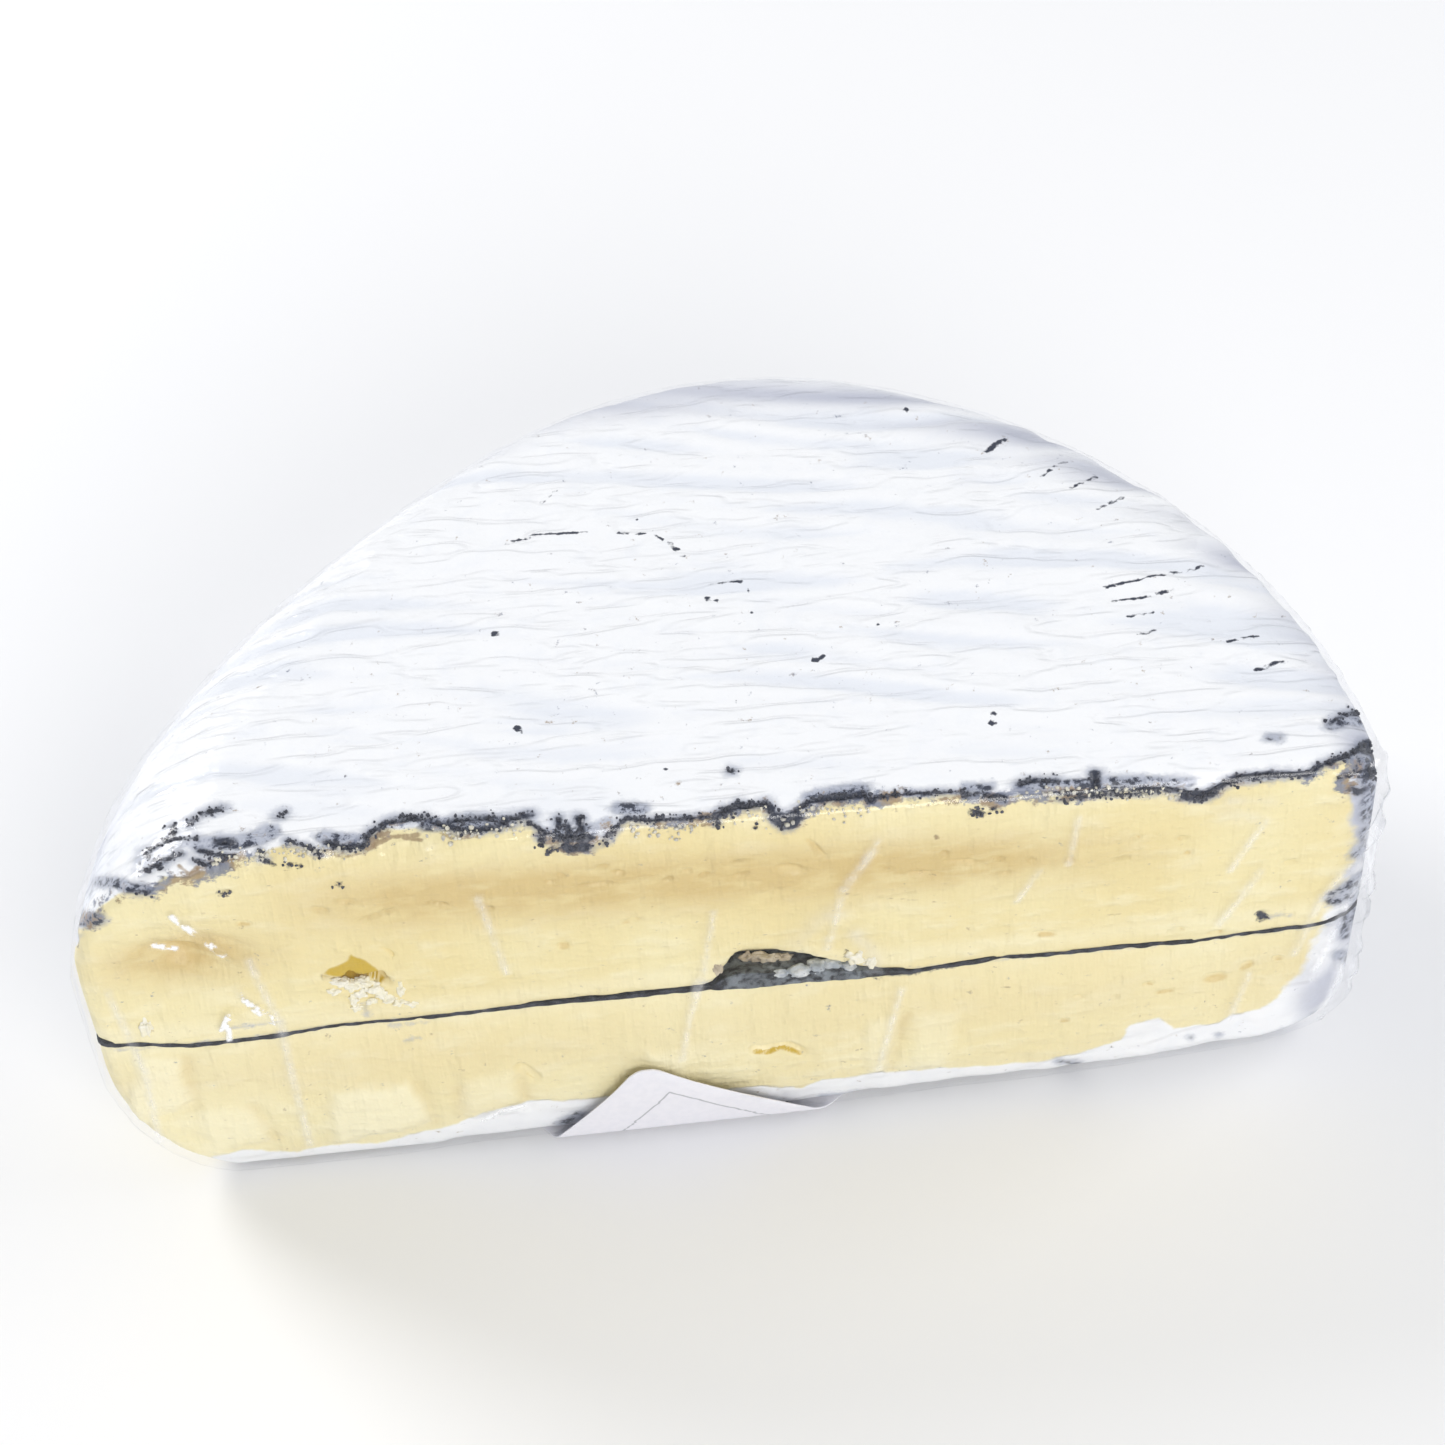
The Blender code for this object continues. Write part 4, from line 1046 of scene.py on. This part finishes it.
# Creases, whose white is partly the film's own whitening and partly a painted highlight along them.
creaseAndHighlight = softStrokes(across, climb, look["creases"]) * front * (normals[:, 1] < -0.2)
glint = softStrokes(across, climb, look["glints"]) * front
veil = softStrokes(across, climb, look["veils"]) * front
rightEnd = smoothStep(93.0, 99.0, x) * front
swing = 3.0 * rough(spots, (0.05, 0.05, 0.05), 3.0)
pleats = 0.5 * np.sin(turn * 38.0 + swing) + 0.5 * np.sin(turn * 91.0 + 2.0 * swing + z * 0.09)
pleats = np.maximum(pleats, 0.0)
offLabel = 1.0 - fade(21.0, 25.0, z) * smoothStep(-40.0, -36.0, x) * fade(23.0, 27.0, x) * front
push = offLabel * (look["creaseRise"] * creaseAndHighlight + look["glintRise"] * glint + look["veilRise"] * veil)
push += side * look["pleatRise"] * pleats * (0.3 + 0.7 * fade(20.0, 62.0, z))
waves = np.sin(z * 0.75 + 2.6 * rough(spots, (0.1, 0.1, 0.07), 5.0) * 3.0)
push += rightEnd * look["rightRise"] * np.maximum(waves, 0.0)
underFolds = np.maximum(np.sin(turn * 29.0 + swing * 2.0), 0.0) * (z < 1.2) * smoothStep(6.0, 14.0, y)
spots = spots + normals * push[:, None]
spots[:, 2] = np.maximum(spots[:, 2] + look["underRise"] * underFolds, 0.0)
setSpots(clingFilm, spots)
keepField(clingFilm, "creaseAndHighlight", np.clip(creaseAndHighlight, 0.0, 1.0))
keepField(clingFilm, "glint", np.clip(glint, 0.0, 1.0))
streaks = np.sin(x * 3.0 + z * 0.45 + 4.0 * rough(spots, (0.2, 0.2, 0.06), 8.0))
veil = 0.7 * veil + 0.5 * rightEnd * (0.5 + 0.5 * streaks) + 0.3 * glint
veil += 0.35 * side * pleats + 0.5 * underFolds
keepField(clingFilm, "veil", np.clip(veil, 0.0, 1.0))


# The bare label over the foot of the cut, turned on one corner and folded under the base.
labelLook = {
    "corner": (-17.2, 23.2),
    "turn": 36.0,
    "foldedAt": 1.6,  # mm behind the cut, where it turns under the base
    "line": (8.8, 5.1),  # the printed box's own corner, in from the left and top edges
    "lineWide": 0.16,
    "fieldScale": 20.0,  # mm for each unit of the two fields
    "paper": ((0.83, 0.82, 0.87), (0.79, 0.785, 0.84)),
    "print": (0.3, 0.31, 0.34),
}

paperLabel = copyOfNode("label", "paperLabel")
splitFaces(paperLabel, 3)
x, y, z = spotsOf(paperLabel).T
unrolled = np.where(y > labelLook["foldedAt"], z - (y - labelLook["foldedAt"]), z)
c, s = math.cos(math.radians(labelLook["turn"])), math.sin(math.radians(labelLook["turn"]))
px, pz = x - labelLook["corner"][0], unrolled - labelLook["corner"][1]
keepField(paperLabel, "labelAcross", (px * c - pz * s) / labelLook["fieldScale"])
keepField(paperLabel, "labelDown", (-px * s - pz * c) / labelLook["fieldScale"])
applyModifier(paperLabel, "SMOOTH", factor=0.3, iterations=1)
bpy.ops.object.shade_smooth_by_angle(angle=math.radians(50.0))
print("label cut,", trianglesOf(paperLabel))


def addNode(tree, kind, **settings):
    node = tree.nodes.new(kind)
    for name, value in settings.items():
        setattr(node, name, value)
    return node


def feed(tree, value, socket):
    if isinstance(value, bpy.types.NodeSocket):
        tree.links.new(value, socket)
    else:
        socket.default_value = value


def sums(tree, kind, first, second=0.0):
    node = addNode(tree, "ShaderNodeMath", operation=kind)
    feed(tree, first, node.inputs[0])
    feed(tree, second, node.inputs[1])
    return node.outputs[0]


def times(tree, first, second):
    return sums(tree, "MULTIPLY", first, second)


def larger(tree, first, second):
    return sums(tree, "MAXIMUM", first, second)


def centred(tree, grain, amount):
    return times(tree, sums(tree, "SUBTRACT", grain, 0.5), amount)


def grainOf(tree, scale, detail=4.0, stretch=(1.0, 1.0, 1.0), harsh=0.55):
    place = addNode(tree, "ShaderNodeTexCoord").outputs["Object"]
    mapping = addNode(tree, "ShaderNodeMapping")
    tree.links.new(place, mapping.inputs["Vector"])
    mapping.inputs["Scale"].default_value = stretch
    grain = addNode(tree, "ShaderNodeTexNoise")
    tree.links.new(mapping.outputs["Vector"], grain.inputs["Vector"])
    grain.inputs["Scale"].default_value = scale
    grain.inputs["Detail"].default_value = detail
    grain.inputs["Roughness"].default_value = harsh
    return grain.outputs["Fac"]


def between(tree, value, low, high, toLow=0.0, toHigh=1.0):
    node = addNode(tree, "ShaderNodeMapRange", interpolation_type="SMOOTHSTEP")
    feed(tree, value, node.inputs["Value"])
    for name, number in (("From Min", low), ("From Max", high), ("To Min", toLow), ("To Max", toHigh)):
        node.inputs[name].default_value = number
    return node.outputs["Result"]


def fieldOf(tree, name):
    return addNode(tree, "ShaderNodeAttribute", attribute_name=name).outputs["Fac"]


# A field's edge broken up by a fine grain, so that no mark has a drawn outline.
def brokenEdge(tree, name, grain, amount, low, high):
    return between(tree, sums(tree, "ADD", fieldOf(tree, name), centred(tree, grain, amount)), low, high)


def mixed(tree, share, first, second):
    node = addNode(tree, "ShaderNodeMix", data_type="RGBA")
    feed(tree, share, node.inputs["Factor"])
    for value, socket in ((first, node.inputs[6]), (second, node.inputs[7])):
        feed(tree, value if isinstance(value, bpy.types.NodeSocket) else (*value, 1.0), socket)
    return node.outputs[2]


def startFinish(name):
    finish = bpy.data.materials.new(name)
    finish.use_nodes = True
    tree = finish.node_tree
    tree.nodes.clear()
    shader = addNode(tree, "ShaderNodeBsdfPrincipled")
    tree.links.new(shader.outputs["BSDF"], addNode(tree, "ShaderNodeOutputMaterial").inputs["Surface"])
    return finish, tree, shader


def raised(tree, shader, heights):
    total = None
    for height, amount in heights:
        part = times(tree, height, amount)
        total = part if total is None else sums(tree, "ADD", total, part)
    bump = addNode(tree, "ShaderNodeBump")
    bump.inputs["Strength"].default_value = 1.0
    bump.inputs["Distance"].default_value = 0.001
    tree.links.new(total, bump.inputs["Height"])
    tree.links.new(bump.outputs["Normal"], shader.inputs["Normal"])


foodColours = {
    "rind": (0.91, 0.915, 0.93),
    "rindShade": (0.74, 0.775, 0.85),
    "rindBlot": (0.36, 0.375, 0.44),
    "rimShade": (0.44, 0.46, 0.56),
    "paste": (0.865, 0.775, 0.455),
    "pasteWarm": (0.82, 0.695, 0.355),
    "tanAndShade": (0.665, 0.505, 0.215),
    "cream": (0.93, 0.87, 0.62),
    "gold": (0.58, 0.39, 0.02),
    "eye": (0.72, 0.57, 0.27),
    "haze": (0.15, 0.175, 0.26),
    "hazePale": (0.42, 0.45, 0.54),
    "brown": (0.30, 0.20, 0.10),
    "ink": (0.018, 0.024, 0.048),
}


def cheeseFinish():
    finish, tree, shader = startFinish("softCheese")
    look = foodColours
    wide, fine, soft = grainOf(tree, 28.0, 2.0), grainOf(tree, 900.0, 3.0), grainOf(tree, 260.0, 4.0)
    dragged = grainOf(tree, 120.0, 3.0, (1.0, 1.0, 2.6))
    cloudy = grainOf(tree, 520.0, 4.0, (1.0, 1.0, 1.4), 0.72)
    shadeAndBlots = fieldOf(tree, "shadeAndBlots")

    # white rind, with painted lavender shade in its folds and on its sides, painted shade towards the far
    # rim, and blotched grey round the side
    rind = mixed(tree, times(tree, shadeAndBlots, 1.3), look["rind"], look["rindShade"])
    rind = mixed(tree, between(tree, soft, 0.45, 0.8, 0.0, 0.25), rind, look["rindShade"])
    # painted shade towards the far rim, and grey at the right end of the cut
    rind = mixed(tree, times(tree, fieldOf(tree, "rimShadeAndGrey"), 0.85), rind, look["rimShade"])
    rind = mixed(tree, between(tree, fine, 0.7, 0.82, 0.0, 0.2), rind, look["rindBlot"])
    blotted = times(tree, between(tree, shadeAndBlots, 0.55, 0.95, 0.0, 0.7), between(tree, soft, 0.46, 0.6))
    rind = mixed(tree, blotted, rind, look["rindBlot"])

    # butter-yellow paste, with its tan band and hollow of painted shade, pale steps of painted light, golden
    # pit, and slits darkened with painted shade
    paste = mixed(tree, between(tree, wide, 0.3, 0.7), look["paste"], look["pasteWarm"])
    paste = mixed(tree, between(tree, dragged, 0.45, 0.75, 0.0, 0.45), paste, look["cream"])
    shadedTan = times(tree, fieldOf(tree, "tanAndShade"), between(tree, dragged, 0.25, 0.6, 0.4, 0.85))
    paste = mixed(tree, shadedTan, paste, look["tanAndShade"])
    # pale paste, and painted light on the raised steps and under the ash line
    paste = mixed(tree, times(tree, fieldOf(tree, "paleAndLit"), 0.7), paste, look["cream"])
    paste = mixed(tree, brokenEdge(tree, "gold", soft, 1.0, 0.0, 0.6), paste, look["gold"])
    # painted shade: slits and eyes darkened
    paste = mixed(tree, brokenEdge(tree, "slitShade", fine, 0.5, 0.0, 0.7), paste, look["eye"])
    inPaste = brokenEdge(tree, "paste", soft, 1.6, -0.35, 0.35)
    colour = mixed(tree, inPaste, rind, paste)

    # ash over both: haze, brown stains, grit under the top edge, then ink
    nearRim = between(tree, fieldOf(tree, "paste"), 1.2, 2.6, 0.95, 0.0)
    feather = times(tree, brokenEdge(tree, "ink", cloudy, 3.2, -1.7, 0.6), nearRim)
    hazy = times(tree, larger(tree, brokenEdge(tree, "haze", cloudy, 3.2, -0.9, 1.0), feather), 0.88)
    hazeColour = mixed(tree, between(tree, cloudy, 0.4, 0.62), look["haze"], look["hazePale"])
    colour = mixed(tree, hazy, colour, hazeColour)
    stained = times(tree, brokenEdge(tree, "brown", fine, 0.9, -0.1, 0.35), 0.8)
    colour = mixed(tree, stained, colour, look["brown"])
    gritty = times(tree, brokenEdge(tree, "grit", cloudy, 3.2, 0.42, 0.85), 0.85)
    gritColour = mixed(tree, between(tree, soft, 0.42, 0.58), look["haze"], look["brown"])
    colour = mixed(tree, gritty, colour, gritColour)
    inked = brokenEdge(tree, "ink", cloudy, 2.6, -0.2, 0.55)
    inked = larger(tree, inked, brokenEdge(tree, "specks", fine, 0.9, -0.1, 0.15))
    veined = times(tree, brokenEdge(tree, "haze", soft, 1.2, 0.0, 0.9), between(tree, cloudy, 0.5, 0.4))
    colour = mixed(tree, larger(tree, inked, veined), colour, look["ink"])

    tree.links.new(colour, shader.inputs["Base Color"])
    tree.links.new(between(tree, soft, 0.3, 0.7, 0.42, 0.6), shader.inputs["Roughness"])
    shader.inputs["Coat Weight"].default_value = 0.25
    shader.inputs["Coat Roughness"].default_value = 0.2

    # Each relief is about zero on average, so that none makes a step where rind meets paste.
    curly = grainOf(tree, 95.0, 2.0, (0.5, 1.9, 1.0), 0.5)
    wrinkle = between(tree, sums(tree, "ABSOLUTE", centred(tree, curly, 1.0)), 0.0, 0.07)
    wrinkle = sums(tree, "SUBTRACT", wrinkle, 1.0)
    onRind = sums(tree, "SUBTRACT", 1.0, inPaste)
    pulled = grainOf(tree, 150.0, 3.0, (2.2, 1.0, 0.35), 0.6)
    raised(tree, shader, [
        (soft, 0.2), (fine, 0.08), (times(tree, wrinkle, onRind), 0.24),
        (times(tree, centred(tree, pulled, 1.0), inPaste), 0.75),
        (times(tree, centred(tree, dragged, 1.0), inPaste), 0.9),
    ])
    return finish


def plainFinish(name, colours, rough, scale, bumps, specks=None, mouldy=None):
    finish, tree, shader = startFinish(name)
    grain, fine = grainOf(tree, scale, 5.0), grainOf(tree, scale * 4.0, 3.0)
    colour = mixed(tree, between(tree, grain, 0.35, 0.65), colours[0], colours[1])
    if specks:
        colour = mixed(tree, between(tree, fine, 0.62, 0.72, 0.0, 0.8), colour, specks)
    if mouldy:
        patches = times(tree, fieldOf(tree, "mouldy"), between(tree, grain, 0.35, 0.6))
        colour = mixed(tree, patches, colour, mouldy)
    tree.links.new(colour, shader.inputs["Base Color"])
    tree.links.new(between(tree, fine, 0.3, 0.7, rough - 0.08, rough + 0.08), shader.inputs["Roughness"])
    raised(tree, shader, [(grain, bumps), (fine, bumps * 0.3)])
    return finish


def filmFinish():
    finish, tree, shader = startFinish("clearFilm")
    ripple = grainOf(tree, 60.0, 3.0, (1.0, 1.6, 0.6))
    fine = grainOf(tree, 420.0, 3.0)
    shader.inputs["Base Color"].default_value = (0.96, 0.97, 1.0, 1.0)
    facing = addNode(tree, "ShaderNodeLayerWeight")
    facing.inputs["Blend"].default_value = 0.35
    # creases whiten the film, and this white is partly a painted highlight along them
    creasedAndLit = times(tree, fieldOf(tree, "creaseAndHighlight"), between(tree, fine, 0.25, 0.7, 0.14, 0.36))
    veiled = times(tree, fieldOf(tree, "veil"), between(tree, ripple, 0.35, 0.65, 0.08, 0.42))
    sparkle = between(tree, fieldOf(tree, "glint"), 0.35, 0.9, 0.0, 0.95)
    sparkle = times(tree, sparkle, between(tree, fine, 0.42, 0.56))
    white = larger(tree, larger(tree, creasedAndLit, veiled), sparkle)
    clear = between(tree, facing.outputs["Facing"], 0.25, 1.0, 0.035, 0.3)
    tree.links.new(sums(tree, "ADD", clear, white), shader.inputs["Alpha"])
    tree.links.new(between(tree, white, 0.02, 0.3, 1.0, 0.15), shader.inputs["Metallic"])
    tree.links.new(between(tree, fine, 0.3, 0.7, 0.08, 0.2), shader.inputs["Roughness"])
    raised(tree, shader, [(ripple, 1.8), (fine, 0.12)])
    return finish


# One side of the printed box: near its own line, and past the box's corner.
def boxSide(tree, distance, start, past, pastStart):
    wide = labelLook["lineWide"]
    away = sums(tree, "ABSOLUTE", sums(tree, "SUBTRACT", distance, start))
    line = between(tree, away, wide * 0.6, wide * 1.4, 1.0, 0.0)
    return times(tree, line, between(tree, past, pastStart - wide, pastStart))


def labelFinish():
    finish, tree, shader = startFinish("labelPaper")
    along = times(tree, fieldOf(tree, "labelAcross"), labelLook["fieldScale"])
    down = times(tree, fieldOf(tree, "labelDown"), labelLook["fieldScale"])
    inX, inY = labelLook["line"]
    box = larger(tree, boxSide(tree, along, inX, down, inY), boxSide(tree, down, inY, along, inX))
    fibre = grainOf(tree, 700.0, 4.0)
    colour = mixed(tree, between(tree, fibre, 0.3, 0.7), *labelLook["paper"])
    colour = mixed(tree, times(tree, box, 0.7), colour, labelLook["print"])
    tree.links.new(colour, shader.inputs["Base Color"])
    shader.inputs["Roughness"].default_value = 0.42
    raised(tree, shader, [(grainOf(tree, 60.0, 2.0), 0.5), (fibre, 0.03)])
    return finish


# Two colours that a fine grain mixes, roughness, grain size, bump height, specks, mould
cheese = cheeseFinish()
ash = plainFinish(
    "ashPowder", ((0.008, 0.01, 0.016), (0.05, 0.056, 0.075)), 0.8, 700.0, 0.3, None, (0.23, 0.26, 0.29))
crumbAsh = plainFinish("crumbledAsh", ((0.028, 0.03, 0.045), (0.09, 0.095, 0.12)), 0.75, 900.0, 0.2)
mould = plainFinish("greyMould", ((0.36, 0.4, 0.45), (0.68, 0.7, 0.72)), 0.65, 500.0, 0.3, (0.12, 0.13, 0.16))
curd = plainFinish("whiteCurd", ((0.88, 0.83, 0.64), (0.9, 0.87, 0.76)), 0.45, 420.0, 0.3)
flap = plainFinish("dryPaste", ((0.42, 0.35, 0.26), (0.62, 0.54, 0.42)), 0.55, 520.0, 0.3, (0.2, 0.18, 0.16))
crumbPale = plainFinish(
    "paleCrumb", ((0.48, 0.46, 0.42), (0.8, 0.76, 0.62)), 0.6, 900.0, 0.2, (0.15, 0.15, 0.16))
film = filmFinish()
paper = labelFinish()

for piece, finish, slot in (
    (upperLayer, cheese, "upper_paste"),
    (lowerLayer, cheese, "lower_paste"),
    (ashLayer, ash, "ash"),
    (ashCrumbs, crumbAsh, "ash"),
    (mouldLumps, mould, "upper_paste"),
    (curdLumps, curd, "upper_paste"),
    (flapLumps, flap, "upper_paste"),
    (paleCrumbs, crumbPale, "upper_paste"),
    (clingFilm, film, "clear_film"),
    (paperLabel, paper, "label_paper"),
):
    piece.data.materials.append(finish)
    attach(piece, "root")
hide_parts("upper_layer")
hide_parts("lower_layer")
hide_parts("ash_line")
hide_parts("film_wrap")
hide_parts("label")
print("finishes set")


studioLook = {
    "floor": (0.86, 0.86, 0.87),
    "world": (0.93, 0.96, 1.0),
    "worldPower": 0.57,
    "lamps": [
        ("keyLamp", (-0.75, 0.6, 0.6), 0.45, 6.9, (1.0, 0.985, 0.965)),
        ("frontLamp", (0.25, -0.95, 0.55), 0.6, 5.4, (1.0, 0.98, 0.95)),
        ("rightLamp", (0.8, 0.1, 0.6), 0.5, 2.4, (1.0, 0.985, 0.97)),
    ],
}

bpy.ops.object.select_all(action="DESELECT")
bpy.ops.mesh.primitive_plane_add(size=4.0, location=(0.0, 0.0, 0.0))
floor = bpy.context.object
floor.name = "studioFloor"
floorFinish, tree, shader = startFinish("studioFloor")
shader.inputs["Base Color"].default_value = (*studioLook["floor"], 1.0)
shader.inputs["Roughness"].default_value = 0.7
floor.data.materials.append(floorFinish)

for name, place, size, power, colour in studioLook["lamps"]:
    lamp = bpy.data.lights.new(name, "AREA")
    lamp.shape = "DISK"
    lamp.size, lamp.energy, lamp.color = size, power, colour
    holder = bpy.data.objects.new(name, lamp)
    holder.location = place
    holder.rotation_euler = (Vector((0.0, 0.0, 0.03)) - Vector(place)).to_track_quat("-Z", "Y").to_euler()
    scene.collection.objects.link(holder)

world = bpy.data.worlds.new("studioSky")
world.use_nodes = True
world.node_tree.nodes["Background"].inputs["Color"].default_value = (*studioLook["world"], 1.0)
world.node_tree.nodes["Background"].inputs["Strength"].default_value = studioLook["worldPower"]
scene.world = world
scene.view_settings.view_transform = "Standard"
print("lights set")

lens = bpy.data.cameras.new("photoView")
lens.lens, lens.sensor_width = shotLook["lens"], 36.0
lens.shift_y = shotLook["shiftUp"]
lens.clip_start = 0.01
camera = bpy.data.objects.new("photoView", lens)
tilted, upright, back = viewBasis()
camera.matrix_world = Matrix((tilted, upright, back)).transposed().to_4x4()
camera.location = (np.array(eyeSpot) + cutMiddle) / 1000.0
scene.collection.objects.link(camera)
scene.camera = camera
